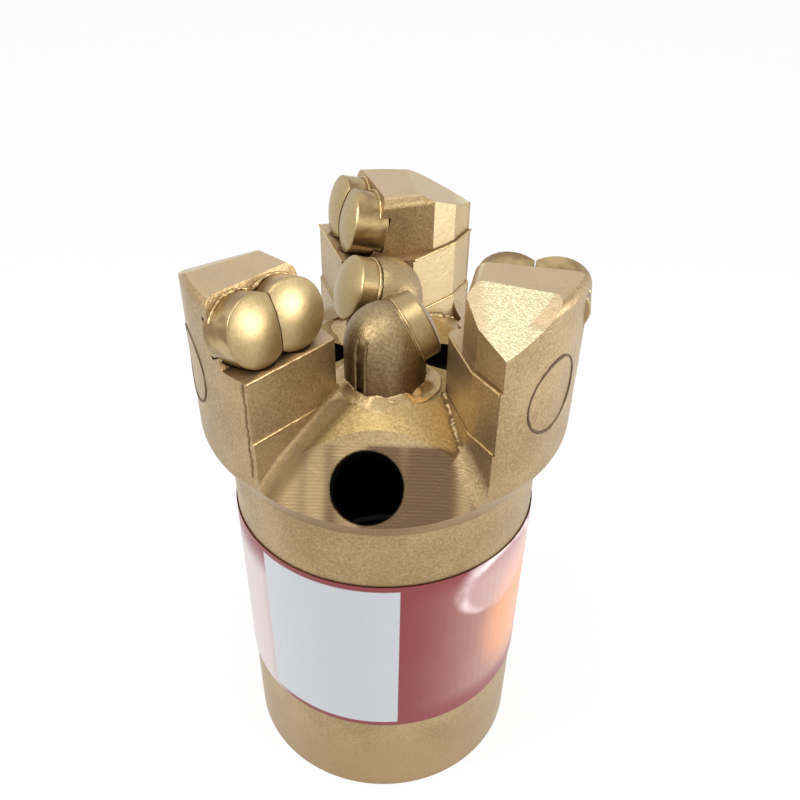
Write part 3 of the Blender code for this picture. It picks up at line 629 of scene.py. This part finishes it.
bump(tree, shader, grain["Height"], 0.085 * MM)
print("post paint ready")

# %% Black of the bores
# Near black: the bare steel inside the bores and the chamber, with painted shade of the deep holes.
BORE_DARKEST, BORE_LESS_DARK = (0.004, 0.004, 0.004, 1.0), (0.012, 0.010, 0.008, 1.0)
bore_black, tree, shader, place = new_finish("bore_black", 0.9, 0.0)
shader.inputs["Specular IOR Level"].default_value = 0.0
bore_mottle = cloudy(tree, place, 400.0)[0]
tree.links.new(blend_colours(tree, bore_mottle, BORE_DARKEST, BORE_LESS_DARK), shader.inputs["Base Color"])
print("bore black ready")

# %% [markdown]
# ## Rounded, smoothly shaded skins over the steel
#
# The frame's solids are flat facets with knife edges. A real painted part has
# edges that are a little round, and they catch the light. Each node gets a
# copy whose doubled points are merged, flat facets are joined, and edges get
# a narrow bevel. Weighted normals keep the wide faces flat and let only the
# bevels turn. The copy stands in for the node in the render, at the same
# place.

# %% A rounded copy
BODY_BEVEL, SMALL_BEVEL = 0.30 * MM, 0.18 * MM
MERGE_GAP, FLAT_ANGLE = 0.002 * MM, math.radians(0.4)
SHARP_ANGLE, BEVEL_ANGLE = math.radians(60.0), math.radians(15.5)


def skin_of(name, bevel, finish):
    mesh = nodes[name].data.copy()
    merged = bmesh.new()
    merged.from_mesh(mesh)
    bmesh.ops.remove_doubles(merged, verts=merged.verts, dist=MERGE_GAP)
    bmesh.ops.dissolve_limit(merged, angle_limit=FLAT_ANGLE, verts=merged.verts, edges=merged.edges)
    merged.to_mesh(mesh)
    merged.free()
    thing = bpy.data.objects.new(name + "_skin", mesh)
    scene.collection.objects.link(thing)
    mesh.shade_smooth()
    mesh.set_sharp_from_angle(angle=SHARP_ANGLE)
    edge = thing.modifiers.new("round_edges", "BEVEL")
    edge.width, edge.segments, edge.limit_method = bevel, 2, "ANGLE"
    edge.angle_limit = BEVEL_ANGLE
    thing.modifiers.new("flat_faces", "WEIGHTED_NORMAL").weight = 100
    graph = bpy.context.evaluated_depsgraph_get()
    mesh = bpy.data.meshes.new_from_object(thing.evaluated_get(graph))
    thing.modifiers.clear()
    thing.data = mesh
    mesh.materials.clear()
    mesh.materials.append(finish)
    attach(thing, "root")
    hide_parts(name)
    return thing


print("edges rounded by", round(BODY_BEVEL / MM, 2), "and", round(SMALL_BEVEL / MM, 2), "mm")

# %% Copies of every piece but the sleeve
FINISHES = {
    "post": (post_paint, "gold_painted_steel"),
    "button": (body_paint, "gold_painted_cutter"),
    "cutter": (cutter_paint, "gold_painted_cutter"),
}
skins = {}
for name in sorted(nodes):
    for word, (finish, slot) in FINISHES.items():
        if word in name:
            skins[name] = skin_of(name, SMALL_BEVEL, finish)
body = skin_of("bit_body", BODY_BEVEL, body_paint)
print(len(skins), "small skins, and the body's with", len(body.data.polygons), "faces")

# %% [markdown]
# ### Two finishes on one skin
#
# A wing cutter's barrel carries dark patches of painted reflection, while its
# dome and its back are bright. The back is the largest flat face, so the
# barrel's faces are those that stand across to it. The cutters on the posts
# keep one finish. And the walls of the bores are near black: bare steel inside,
# and painted shade of the deep holes. They are picked by how far each face lies
# from a bore's own line.

# %% Barrels of the wing cutters
ACROSS = 0.35
for name in [n for n in skins if n.startswith("wing")]:
    mesh = skins[name].data
    areas = {}
    for face in mesh.polygons:
        way = tuple(round(v, 1) for v in face.normal)
        areas[way] = areas.get(way, 0.0) + face.area
    back = Vector(max(areas, key=areas.get)).normalized()
    mesh.materials.append(barrel_paint)
    for face in mesh.polygons:
        if abs(face.normal.dot(back)) < ACROSS:
            face.material_index = 1
print("barrels painted")

# %% Bores in black
HOLE_TURN, HOLE_REACH = math.radians(266.5), 8.35 * MM
HOLE_MOUTH = AXIS + turned(HOLE_TURN, 36.8 * MM, -2.1 * MM, 115.5 * MM)
JET_TURNS, JET_LEAN = (0.0, math.radians(177.0)), math.radians(12.0)
JET_OFFSET, JET_REACH = 14.4 * MM, 5.1 * MM
BORE_SKIN, BORE_LENGTH = 0.2 * MM, 50.0 * MM
CHAMBER_FOOT, CHAMBER_TOP, CHAMBER_REACH = 61.9 * MM, 99.5 * MM, 27.0 * MM
bores = [(HOLE_MOUTH, turned(HOLE_TURN, -1.0, 0.0, -1.0).normalized(), HOLE_REACH)]
for turn in JET_TURNS:
    inwards = turned(turn, -math.sin(JET_LEAN), 0.0, -math.cos(JET_LEAN))
    bores.append((AXIS + turned(turn, JET_OFFSET, 0.0, FLOOR_HEIGHT), inwards, JET_REACH))


def in_a_bore(point):
    for mouth, inwards, radius in bores:
        off = point - mouth
        depth = off.dot(inwards)
        if BORE_SKIN < depth < BORE_LENGTH and (off - inwards * depth).length < radius:
            return True
    off = point - AXIS
    return CHAMBER_FOOT < off.z < CHAMBER_TOP and off.xy.length < CHAMBER_REACH


body.data.materials.append(bore_black)
black = [face for face in body.data.polygons if in_a_bore(face.center)]
for face in black:
    face.material_index = 1
print(len(black), "faces of the bores are black")

# %% [markdown]
# ## The printed sleeve
#
# A thin glossy film runs round the shank. Its print is a plain design of this
# file's own: a pale empty panel, a crimson field that fades to rose, a warm
# glow and a thin line along both edges. The print is drawn by angle and
# height, with soft steps for edges, so it stays sharp at any size and needs
# no picture. There are no words or signs on it.

# %% Sleeve print: the places of its fields
sleeve_print, tree, shader, place = new_finish("printed_film", 0.30, 0.0)
shader.inputs["Specular IOR Level"].default_value = 0.35
shader.inputs["Coat Weight"].default_value = 0.12
shader.inputs["Coat Roughness"].default_value = 0.12
around = use_group(tree, around_axis, {"Place": place, "Axis": AXIS})
angle = around["Angle"]
rise = calc(tree, "SUBTRACT", around["Height"], sleeve_low.z)
rise = calc(tree, "DIVIDE", rise, sleeve_high.z - sleeve_low.z)


def round_field(turn, level, width, tall, soft):
    """A soft oval on the sleeve, placed by angle and by share of its height."""
    across = calc(tree, "DIVIDE", calc(tree, "SUBTRACT", angle, turn), width)
    up = calc(tree, "DIVIDE", calc(tree, "SUBTRACT", rise, level), tall)
    reach = calc(tree, "ADD", calc(tree, "POWER", across, 2.0), calc(tree, "POWER", up, 2.0))
    return soft_step(tree, reach, 1.0 + soft, 1.0 - soft)


print("sleeve from", round(sleeve_low.z / MM, 1), "to", round(sleeve_high.z / MM, 1), "mm")

# %% Sleeve print: crimson, rose and the warm glow
CRIMSON, ROSE = (0.200, 0.026, 0.030, 1.0), (0.320, 0.168, 0.132, 1.0)
WARM = (0.70, 0.28, 0.12, 1.0)
PALE_ROSE, BRIGHT_RIM = (0.60, 0.42, 0.42, 1.0), (0.80, 0.66, 0.66, 1.0)
rough_edge = cloudy(tree, place, 90.0, detail=3.0)[0]
drift = times(tree, calc(tree, "SUBTRACT", rough_edge, 0.5), 0.16)
fade = soft_step(tree, calc(tree, "ADD", angle, drift), 0.10, 0.85)
fade = times(tree, fade, between(tree, rise, 0.10, 0.93, 0.07))
fade = times(tree, fade, soft_step(tree, angle, 2.9, 1.9))
colour = blend_colours(tree, fade, CRIMSON, ROSE)
glow = round_field(turn=1.10, level=0.50, width=0.34, tall=0.34, soft=0.95)
colour = tinted(tree, colour, glow, 0.85, WARM)
pale = round_field(turn=0.86, level=0.86, width=0.40, tall=0.20, soft=0.25)
inside = round_field(turn=0.90, level=0.82, width=0.37, tall=0.17, soft=0.25)
rim = times(tree, pale, calc(tree, "SUBTRACT", 1.0, inside))
colour = tinted(tree, colour, pale, 0.40, PALE_ROSE)
colour = tinted(tree, colour, rim, soft_step(tree, rough_edge, 0.35, 0.6), BRIGHT_RIM)
print("crimson fades to rose")

# %% Sleeve print: the pale side and the empty panel
PALE_SIDE, PANEL_WHITE = (0.53, 0.44, 0.44, 1.0), (0.452, 0.468, 0.492, 1.0)
PANEL_LEFT, PANEL_RIGHT, PRINT_EDGE = -0.865, 0.088, 0.004
side = times(tree, between(tree, angle, -2.1, -0.80, 0.16), soft_step(tree, rise, 0.97, 0.78))
colour = blend_colours(tree, side, colour, PALE_SIDE)
panel = between(tree, angle, PANEL_LEFT, PANEL_RIGHT, PRINT_EDGE)
panel = times(tree, panel, between(tree, rise, 0.028, 0.972, PRINT_EDGE))
colour = blend_colours(tree, panel, colour, PANEL_WHITE)
tree.links.new(colour, shader.inputs["Base Color"])
bump(tree, shader, cloudy(tree, place, 55.0)[0], 0.12 * MM)
nodes["label"].material_slots[0].material = sleeve_print
print("sleeve printed")

# %% [markdown]
# ## Braze beads as a Geometry Nodes tool
#
# Each cutter is brazed into its seat, and a small uneven bead of braze shows
# along the seam under the paint. A bead follows a path, so one node tree can
# make them all: it turns edges into a curve, gives it an uneven thickness,
# sweeps a small circle along it and pushes the skin about a little. The
# paths come from the sizes of the pieces that they join.


# %% Helpers for Geometry Nodes
def new_geometry_tree(name, inputs):
    tree = bpy.data.node_groups.new(name, "GeometryNodeTree")
    tree.interface.new_socket("Geometry", in_out="INPUT", socket_type="NodeSocketGeometry")
    for title, kind in inputs:
        tree.interface.new_socket(title, in_out="INPUT", socket_type="NodeSocket" + kind)
    tree.interface.new_socket("Geometry", in_out="OUTPUT", socket_type="NodeSocketGeometry")
    entry = tree.nodes.new("NodeGroupInput")
    result = tree.nodes.new("NodeGroupOutput")
    return tree, entry.outputs, result.inputs


def end_tree(tree, geometry, finish, result, smooth=True):
    geometry = put(tree, "GeometryNodeRealizeInstances", {"Geometry": geometry}).outputs[0]
    if smooth:
        geometry = put(tree, "GeometryNodeSetShadeSmooth", {"Geometry": geometry}).outputs[0]
    done = put(tree, "GeometryNodeSetMaterial", {"Geometry": geometry, "Material": finish})
    tree.links.new(done.outputs[0], result[0])


print("helpers for Geometry Nodes ready")

# %% The bead tree
BEAD_STEP, BEAD_SIDES, THINNEST = 0.35 * MM, 12, 0.2
sockets = [("Thickness", "Float"), ("Unevenness", "Float"), ("Lump Size", "Float")]
bead_tree, given, result = new_geometry_tree("braze_bead", sockets + [("Finish", "Material")])
tree = bead_tree
line = put(tree, "GeometryNodeMeshToCurve", {"Mesh": given["Geometry"]}).outputs[0]
line = {"Curve": line, "Length": BEAD_STEP}
line = put(tree, "GeometryNodeResampleCurve", line, mode="LENGTH").outputs[0]
where = tree.nodes.new("GeometryNodeInputPosition").outputs[0]
lumps = cloudy(tree, where, calc(tree, "DIVIDE", 1.0, given["Lump Size"]))
swell = times(tree, calc(tree, "SUBTRACT", lumps[0], 0.5), given["Unevenness"])
swell = calc(tree, "MAXIMUM", calc(tree, "ADD", swell, 1.0), THINNEST)
radius = times(tree, given["Thickness"], swell)
ring = {"Resolution": BEAD_SIDES, "Radius": 1.0}
ring = put(tree, "GeometryNodeCurvePrimitiveCircle", ring).outputs[0]
swept = {"Curve": line, "Profile Curve": ring, "Scale": radius, "Fill Caps": True}
skin = put(tree, "GeometryNodeCurveToMesh", swept).outputs[0]
push = vector_calc(tree, "SUBTRACT", lumps["Color"], (0.5, 0.5, 0.5))
amount = times(tree, given["Thickness"], given["Unevenness"], 0.6)
push = put(tree, "ShaderNodeVectorMath", {0: push, "Scale": amount}, operation="SCALE").outputs[0]
skin = put(tree, "GeometryNodeSetPosition", {"Geometry": skin, "Offset": push}).outputs[0]
end_tree(tree, skin, given["Finish"], result)
print("bead tree with", len(tree.nodes), "nodes")


# %% Paths as edges
def path_object(name, paths):
    """An object of edges alone, from a list of (points, closed)."""
    points, edges = [], []
    for path, closed in paths:
        first = len(points)
        points += [tuple(p) for p in path]
        edges += [(first + i, first + i + 1) for i in range(len(path) - 1)]
        if closed:
            edges.append((first + len(path) - 1, first))
    mesh = bpy.data.meshes.new(name)
    mesh.from_pydata(points, edges, [])
    thing = bpy.data.objects.new(name, mesh)
    scene.collection.objects.link(thing)
    return thing


print("paths can become edges")


# %% From paths to plain pieces
def carried_out(thing, tree, values, finish):
    """The node tree run on the thing, as a plain mesh that rides on the bit."""
    change = thing.modifiers.new("tree", "NODES")
    change.node_group = tree
    values = {**values, "Finish": finish}
    for socket in tree.interface.items_tree:
        if socket.in_out == "INPUT" and socket.name in values:
            change[socket.identifier] = values[socket.name]
    graph = bpy.context.evaluated_depsgraph_get()
    mesh = bpy.data.meshes.new_from_object(thing.evaluated_get(graph))
    thing.modifiers.clear()
    thing.data = mesh
    mesh.materials.clear()
    mesh.materials.append(finish)
    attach(thing, "root")
    print(thing.name, "has", sum(len(p.vertices) - 2 for p in mesh.polygons), "triangles")


def beads(name, paths, finish, thickness, unevenness, lump_size):
    values = {"Thickness": thickness, "Unevenness": unevenness, "Lump Size": lump_size}
    carried_out(path_object(name, paths), bead_tree, values, finish)


print("edges can become beads")

# %% [markdown]
# ### Three finishes for braze and seams
#
# Fresh braze under paint is bright gold. Some beads are a darker brown, and
# the slit round a button is nearly black, as painted shade in the narrow gap.
# All three take their unevenness from the same sprayed grain.

# %% Braze finishes
BRAZE_GOLD, BRAZE_DARK = (0.62, 0.46, 0.235, 1.0), (0.40, 0.27, 0.125, 1.0)
BROWN_BEAD_PALE, BROWN_BEAD_DARK = (0.33, 0.228, 0.112, 1.0), (0.135, 0.085, 0.040, 1.0)
SLIT_PALE, SLIT_DARK = (0.16, 0.10, 0.05, 1.0), (0.035, 0.022, 0.012, 1.0)
braze_paint, tree, shader, place = new_finish("painted_braze", 0.34, 0.88)
grain = use_group(tree, sprayed_grain, {"Place": place})
colour = speckled(tree, grain["Tone"], 0.3, 0.7, BRAZE_DARK, BRAZE_GOLD)
colour = shade_corners_brown(tree, colour, 2.0 * MM, 0.7)
tree.links.new(colour, shader.inputs["Base Color"])
bump(tree, shader, grain["Height"], 0.03 * MM)

# Painted shade: the nearly black slit round each button.
slit_shade, tree, shader, place = new_finish("dark_seam", 0.6, 0.5)
grain = use_group(tree, sprayed_grain, {"Place": place})
colour = blend_colours(tree, grain["Tone"], SLIT_DARK, SLIT_PALE)
tree.links.new(colour, shader.inputs["Base Color"])

# A darker brown for the beads in seams, in welds and beside the posts' grooves.
brown_braze, tree, shader, place = new_finish("brown_braze", 0.42, 0.85)
grain = use_group(tree, sprayed_grain, {"Place": place})
colour = speckled(tree, grain["Tone"], 0.3, 0.7, BROWN_BEAD_DARK, BROWN_BEAD_PALE)
tree.links.new(colour, shader.inputs["Base Color"])
bump(tree, shader, grain["Height"], 0.04 * MM)
print("three finishes for braze and seams")

# %% [markdown]
# ### Seams of the wing cutters
#
# A wing's two cutters stand side by side with their barrels in the wing. The
# seam is the ring where a barrel enters the front, less the part that lies
# inside its neighbour or over the wing's top and side, where there is no
# steel to braze to.

# %% Seams of the wing cutters
SEAT_DEPTH, SEAT_FRONT = 5.8 * MM, 0.9 * MM
OUTER_REACH, INNER_REACH = 38.6 * MM, 28.9 * MM
PAIR_MIDDLE, PAIR_GAP = (OUTER_REACH + INNER_REACH) / 2, 0.1 * MM
SEAM_INNER_END, SEAM_OUTER_END, SEAM_TOP = 21.8 * MM, 45.9 * MM, WING_TOP - 0.2 * MM
SEAM_START, SEAM_SWEEP, SEAM_STEPS = -32.0, 245.0, 144
SEAM_RADIUS, BROKEN_GAP = CUTTER_RADIUS + 0.15 * MM, 2.0 * MM


def seam_path(turn, reach, side):
    """The seam of one cutter, where its barrel leaves the wing's front."""
    points = []
    for i in range(SEAM_STEPS + 1):
        t = math.radians(SEAM_START + SEAM_SWEEP * i / SEAM_STEPS)
        u = reach + math.cos(t) * SEAM_RADIUS
        up = math.sin(t) * SEAM_RADIUS
        n = SEAT_FRONT - SEAT_DEPTH * math.cos(CUTTER_LEAN) - up * math.sin(CUTTER_LEAN)
        z = CUTTER_HEIGHT - SEAT_DEPTH * math.sin(CUTTER_LEAN) + up * math.cos(CUTTER_LEAN)
        ours = (u - PAIR_MIDDLE) * side > PAIR_GAP
        if ours and SEAM_INNER_END < u < SEAM_OUTER_END and z < SEAM_TOP:
            points.append(wing_point(turn, u, n, z))
    return points


def unbroken(path):
    """Open paths, cut wherever two points of the path lie far apart."""
    runs, run = [], [path[0]]
    for before, point in zip(path, path[1:]):
        if (point - before).length > BROKEN_GAP:
            runs.append((run, False))
            run = []
        run.append(point)
    return [r for r in runs + [(run, False)] if len(r[0]) > 3]


seams = []
for turn in WING_TURNS:
    for reach, side in ((OUTER_REACH, 1.0), (INNER_REACH, -1.0)):
        seams += unbroken(seam_path(turn, reach, side))
beads(
    "wing_seam_beads", seams, braze_paint,
    thickness=0.42 * MM, unevenness=2.2, lump_size=1.8 * MM,
)

# %% [markdown]
# ### Braze on the posts
#
# Each post stands in a socket of the crown, and its cutter is set in its dome.
# A bead runs round both. At the foot the braze also flowed out over the floor
# as an uneven skirt, which is a band of rings between the post's side and the
# crown, thick at the post and thin outside.


# %% Beads round the feet of the posts and round their cutters
def circle(centre, direction, radius, count=96):
    turn = Vector(direction).to_track_quat("Z", "Y").to_matrix()
    steps = [math.tau * i / count for i in range(count)]
    return [centre + turn @ Vector((math.cos(t), math.sin(t), 0.0)) * radius for t in steps], True


FOOT_RING_HEIGHT, FOOT_RING_RADIUS = FLOOR_HEIGHT - 0.2 * MM, POST_RADIUS + 0.3 * MM
COLLAR_AIM, COLLAR_LIFT = math.radians(90.0 + 19.5), math.radians(22.0)
COLLAR_WAY = (math.cos(COLLAR_LIFT), 0.0, math.sin(COLLAR_LIFT))
COLLAR_OUT, COLLAR_RADIUS = 5.5 * MM, CUTTER_RADIUS + 0.1 * MM
feet, collars = [], []
for turn in POST_TURNS:
    foot = post_foot(turn)
    middle = foot + Vector((0.0, 0.0, FOOT_RING_HEIGHT))
    feet.append(circle(middle, (0, 0, 1), FOOT_RING_RADIUS))
    way = turned(turn + COLLAR_AIM, *COLLAR_WAY)
    dome = foot + Vector((0.0, 0.0, DOME_HEIGHT))
    collars.append(circle(dome + way * COLLAR_OUT, way, COLLAR_RADIUS))
beads(
    "post_foot_beads", feet, braze_paint,
    thickness=0.80 * MM, unevenness=2.0, lump_size=2.4 * MM,
)
beads(
    "post_cutter_beads", collars, braze_paint,
    thickness=0.30 * MM, unevenness=1.5, lump_size=2.2 * MM,
)


# %% Height of the crown
def crown_height(point):
    """The height of the floor or of the nearest slope, at a place seen from the axis."""
    heights = [KNEE_HEIGHT - (point.xy.length - KNEE_RADIUS) * math.tan(FLOOR_FALL), FLOOR_HEIGHT]
    for turn in WING_TURNS:
        reach = point.dot(turned(turn + SLOT_TURN, 1.0, 0.0, 0.0))
        heights.append(SLOPE_FOOT_HEIGHT + SLOPE_FOOT_REACH - reach)
    return min(heights)


print("crown at the axis:", round(crown_height(Vector((0.0, 0.0, 0.0))) / MM, 1), "mm")

# %% Braze that flowed round the posts' feet
SKIRT_STEPS, SKIRT_ROWS, SKIRT_FALL = 120, 8, 2.2
SKIRT_WIDE, WIDE_SWING, WIDE_LUMPS, INNER_LOSS = 3.7 * MM, 1.3 * MM, 2.3, 0.45
SKIRT_TALL, TALL_SWING, TALL_LUMPS = 1.7 * MM, 0.9 * MM, 3.1
SKIRT_LUMP, LUMPS_A_METRE = 0.30 * MM, 700.0
SKIRT_OVERLAP, SKIRT_SINK, SKIRT_DEPTH = 0.1 * MM, 0.30 * MM, 3.0 * MM


def braze_skirt(foot, seed):
    """Rings of a closed band that flows from a post's side out over the floor."""
    rings = []
    for k in range(SKIRT_STEPS):
        way = turned(math.tau * k / SKIRT_STEPS, 1.0, 0.0, 0.0)
        inwards = max(0.0, -way.dot((foot - AXIS).normalized()))
        swing = noise.noise(way * WIDE_LUMPS + Vector((0.0, 0.0, seed)))
        wide = (SKIRT_WIDE + WIDE_SWING * swing) * (1.0 - INNER_LOSS * inwards)
        swing = noise.noise(way * TALL_LUMPS + Vector((0.0, 0.0, seed + 5.0)))
        tall = SKIRT_TALL + TALL_SWING * swing
        ring = []
        for j in range(SKIRT_ROWS + 1):
            share = j / SKIRT_ROWS
            point = foot + way * (POST_RADIUS - SKIRT_OVERLAP + wide * share)
            lump = noise.noise(point * LUMPS_A_METRE) * SKIRT_LUMP * (1.0 - 0.5 * share)
            point.z = crown_height(point - AXIS) + tall * (1.0 - share) ** SKIRT_FALL
            point.z += lump - SKIRT_SINK * share
            ring.append(point)
        for j in (SKIRT_ROWS, 0):
            ring.append(Vector((ring[j].x, ring[j].y, FLOOR_HEIGHT - SKIRT_DEPTH)))
        rings.append(ring)
    return rings


print("skirt of", SKIRT_STEPS, "rings")

# %% The skirts as one mesh
skirts = bmesh.new()
for seed, turn in enumerate(POST_TURNS):
    rings = [[skirts.verts.new(p) for p in ring] for ring in braze_skirt(post_foot(turn), seed)]
    for ring, following in zip(rings, rings[1:] + rings[:1]):
        for i in range(len(ring)):
            j = (i + 1) % len(ring)
            skirts.faces.new((ring[i], ring[j], following[j], following[i]))
bmesh.ops.recalc_face_normals(skirts, faces=skirts.faces)
mesh = bpy.data.meshes.new("post_foot_skirts")
skirts.to_mesh(mesh)
skirts.free()
mesh.shade_smooth()
mesh.materials.append(braze_paint)
thing = bpy.data.objects.new("post_foot_skirts", mesh)
scene.collection.objects.link(thing)
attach(thing, "root")
print("skirts have", len(mesh.polygons), "faces")

# %% Ridges beside the posts' grooves
RIDGE_ASIDE, RIDGE_SINK = math.radians(8.0), 0.05 * MM
RIDGE_FOOT, RIDGE_TOP = 128, 142
ridges = []
for turn in POST_TURNS:
    for aside in (-RIDGE_ASIDE, RIDGE_ASIDE):
        line = []
        for z in [mm * MM for mm in range(RIDGE_FOOT, RIDGE_TOP + 1)]:
            above = max(z - DOME_HEIGHT, 0.0)
            out = math.sqrt(POST_RADIUS ** 2 - above ** 2) - RIDGE_SINK
            line.append(post_foot(turn) + turned(turn + GROOVE_TURN + aside, out, 0.0, z))
        ridges.append((line, False))
beads(
    "post_groove_ridges", ridges, brown_braze,
    thickness=0.42 * MM, unevenness=1.4, lump_size=1.8 * MM,
)

# %% [markdown]
# ### Seams on the wings
#
# Each wing shows how it was put together: a slit round the button in its side,
# drawn as a dark ring of painted shade, thin beads where the steps of its plates
# meet, a seam down its outer side, and a weld where its heel meets the crown.
# All of them follow lines of the steel, so their paths are made from the wing's
# own sizes.

# %% Slits round the gauge buttons
# Painted shade: a dark ring in the slit round each button.
BUTTON_TURN, BUTTON_HEIGHT = math.radians(-26.0), 135.3 * MM
SLIT_RADIUS, SLIT_SINK, SLIT_STEPS = 8.85 * MM, 0.12 * MM, 96
rings = []
for turn in WING_TURNS:
    ring = []
    for k in range(SLIT_STEPS):
        t = math.tau * k / SLIT_STEPS
        aside, up = SLIT_RADIUS * math.cos(t), SLIT_RADIUS * math.sin(t)
        out = math.sqrt(HEAD_RADIUS ** 2 - aside ** 2) - SLIT_SINK
        ring.append(AXIS + turned(turn + BUTTON_TURN, out, aside, BUTTON_HEIGHT + up))
    rings.append((ring, True))
beads(
    "gauge_button_rings", rings, slit_shade,
    thickness=0.34 * MM, unevenness=1.6, lump_size=7.0 * MM,
)

# %% Beads along the steps of the wings' plates
PLATE_FRONT, PLATE_FOOT = 4.5 * MM, 127.3 * MM
LEDGE_HEIGHT = CUTTER_HEIGHT - CUTTER_RADIUS * math.cos(CUTTER_LEAN)
PLATE_OUT = math.sqrt(HEAD_RADIUS ** 2 - PLATE_FRONT ** 2)
STEPS_OF_PLATES = ((PLATE_FOOT, 21.4 * MM), (LEDGE_HEIGHT - 0.1 * MM, 21.8 * MM))
HEEL_SIDE = ((17.4 * MM, -13.2 * MM), (24.6 * MM, -27.2 * MM), (31.1 * MM, -34.0 * MM))


def stretches(corners, steps):
    """Evenly spaced points between each corner and the next, both corners included."""
    pairs = [(Vector(a), Vector(b)) for a, b in zip(corners, corners[1:])]
    return [a + (b - a) * (k / steps) for a, b in pairs for k in range(steps + 1)]


rims = []
for turn in WING_TURNS:
    for z, inner in STEPS_OF_PLATES:
        front = ((inner, PLATE_FRONT), (PLATE_OUT, PLATE_FRONT))
        for corners, steps in ((front, 40), (HEEL_SIDE, 20)):
            rims.append(([wing_point(turn, *p, z) for p in stretches(corners, steps)], False))
beads(
    "plate_rim_beads", rims, braze_paint,
    thickness=0.36 * MM, unevenness=0.8, lump_size=2.6 * MM,
)

# %% Seams down the sides of the plates
SIDE_SEAM_PLACE, SIDE_SEAM_FOOT, SIDE_SEAM_STEPS = PLATE_FRONT - 1.1 * MM, 118.0 * MM, 40
SIDE_SEAM_OUT = math.sqrt(HEAD_RADIUS ** 2 - SIDE_SEAM_PLACE ** 2)
sides = []
for turn in WING_TURNS:
    line = []
    for k in range(SIDE_SEAM_STEPS + 1):
        wave = 0.14 * MM * math.sin(1.9 * k) + 0.12 * MM * math.sin(0.55 * k + turn)
        z = SIDE_SEAM_FOOT + (LEDGE_HEIGHT - SIDE_SEAM_FOOT) * k / SIDE_SEAM_STEPS
        line.append(wing_point(turn, SIDE_SEAM_OUT, SIDE_SEAM_PLACE + wave, z))
    sides.append((line, False))
beads(
    "plate_side_seams", sides, brown_braze,
    thickness=0.22 * MM, unevenness=2.6, lump_size=1.6 * MM,
)

# %% Welds where the heels meet the crown
HEEL_FOOT_SHARES = ((0.374, -0.29), (0.535, -0.60), (0.64, -0.70))
WELD_STEPS, WELD_LIFT = 12, 0.1 * MM
welds = []
for turn in WING_TURNS:
    line = []
    for (ua, na), (ub, nb) in zip(HEEL_FOOT_SHARES, HEEL_FOOT_SHARES[1:]):
        for k in range(WELD_STEPS):
            u, n = ua + (ub - ua) * k / WELD_STEPS, na + (nb - na) * k / WELD_STEPS
            point = turned(turn, u * HEAD_RADIUS, n * HEAD_RADIUS, 0.0)
            point.z = crown_height(point) + WELD_LIFT
            line.append(AXIS + point)
    welds.append((line, False))
beads(
    "wing_foot_welds", welds, brown_braze,
    thickness=1.05 * MM, unevenness=1.5, lump_size=2.6 * MM,
)

# %% [markdown]
# ## Thread in the shank
#
# The shank's hollow takes the threaded pin of the drill string. Its thread is
# one ridge that winds up a slight taper, so a spiral curve with a profile
# swept along it is the shortest way to make it. The ridge's root lies in the
# wall, so that it looks cut from the same steel.

# %% Steel of the thread
THREAD_PALE, THREAD_DARK = (0.46, 0.44, 0.41, 1.0), (0.25, 0.235, 0.21, 1.0)
thread_steel, tree, shader, place = new_finish("machined_thread_steel", 0.32, 1.0)
rows = cloudy(tree, vector_calc(tree, "MULTIPLY", place, (1.0, 1.0, 6.0)), 300.0)[0]
level = use_group(tree, around_axis, {"Place": place, "Axis": AXIS})["Height"]
colour = blend_colours(tree, rows, THREAD_DARK, THREAD_PALE)
colour = use_group(tree, dark_inside, {"Colour": colour, "Height": level})["Colour"]
tree.links.new(colour, shader.inputs["Base Color"])
bump(tree, shader, rows, 0.03 * MM)
print("thread steel ready")

# %% The thread
THREAD_START, STEPS_A_TURN, PROFILE_SIDES = 3.0 * MM, 72, 4
sockets = [(name, "Float") for name in ("Turns", "Foot Radius", "Top Radius", "Rise", "Depth")]
thread_tree, given, result = new_geometry_tree("tapered_thread", sockets + [("Finish", "Material")])
tree = thread_tree
spiral = {"Resolution": STEPS_A_TURN, "Rotations": given["Turns"], "Height": given["Rise"]}
spiral |= {"Start Radius": given["Foot Radius"], "End Radius": given["Top Radius"]}
spiral = put(tree, "GeometryNodeCurveSpiral", spiral).outputs[0]
profile = {"Resolution": PROFILE_SIDES, "Radius": given["Depth"]}
profile = put(tree, "GeometryNodeCurvePrimitiveCircle", profile).outputs[0]
ridge = {"Curve": spiral, "Profile Curve": profile, "Fill Caps": True}
ridge = put(tree, "GeometryNodeCurveToMesh", ridge).outputs[0]
ridge = {"Geometry": ridge, "Translation": AXIS + Vector((0.0, 0.0, THREAD_START))}
ridge = put(tree, "GeometryNodeTransform", ridge).outputs[0]
end_tree(tree, ridge, given["Finish"], result, smooth=False)
thread_sizes = {"Turns": 9.0, "Rise": 56.0 * MM, "Depth": 1.7 * MM}
thread_sizes |= {"Foot Radius": 29.7 * MM, "Top Radius": 26.5 * MM}
start = [([Vector((0, 0, 0)), Vector((0, 0, MM))], False)]
carried_out(path_object("shank_box_thread", start), thread_tree, thread_sizes, thread_steel)
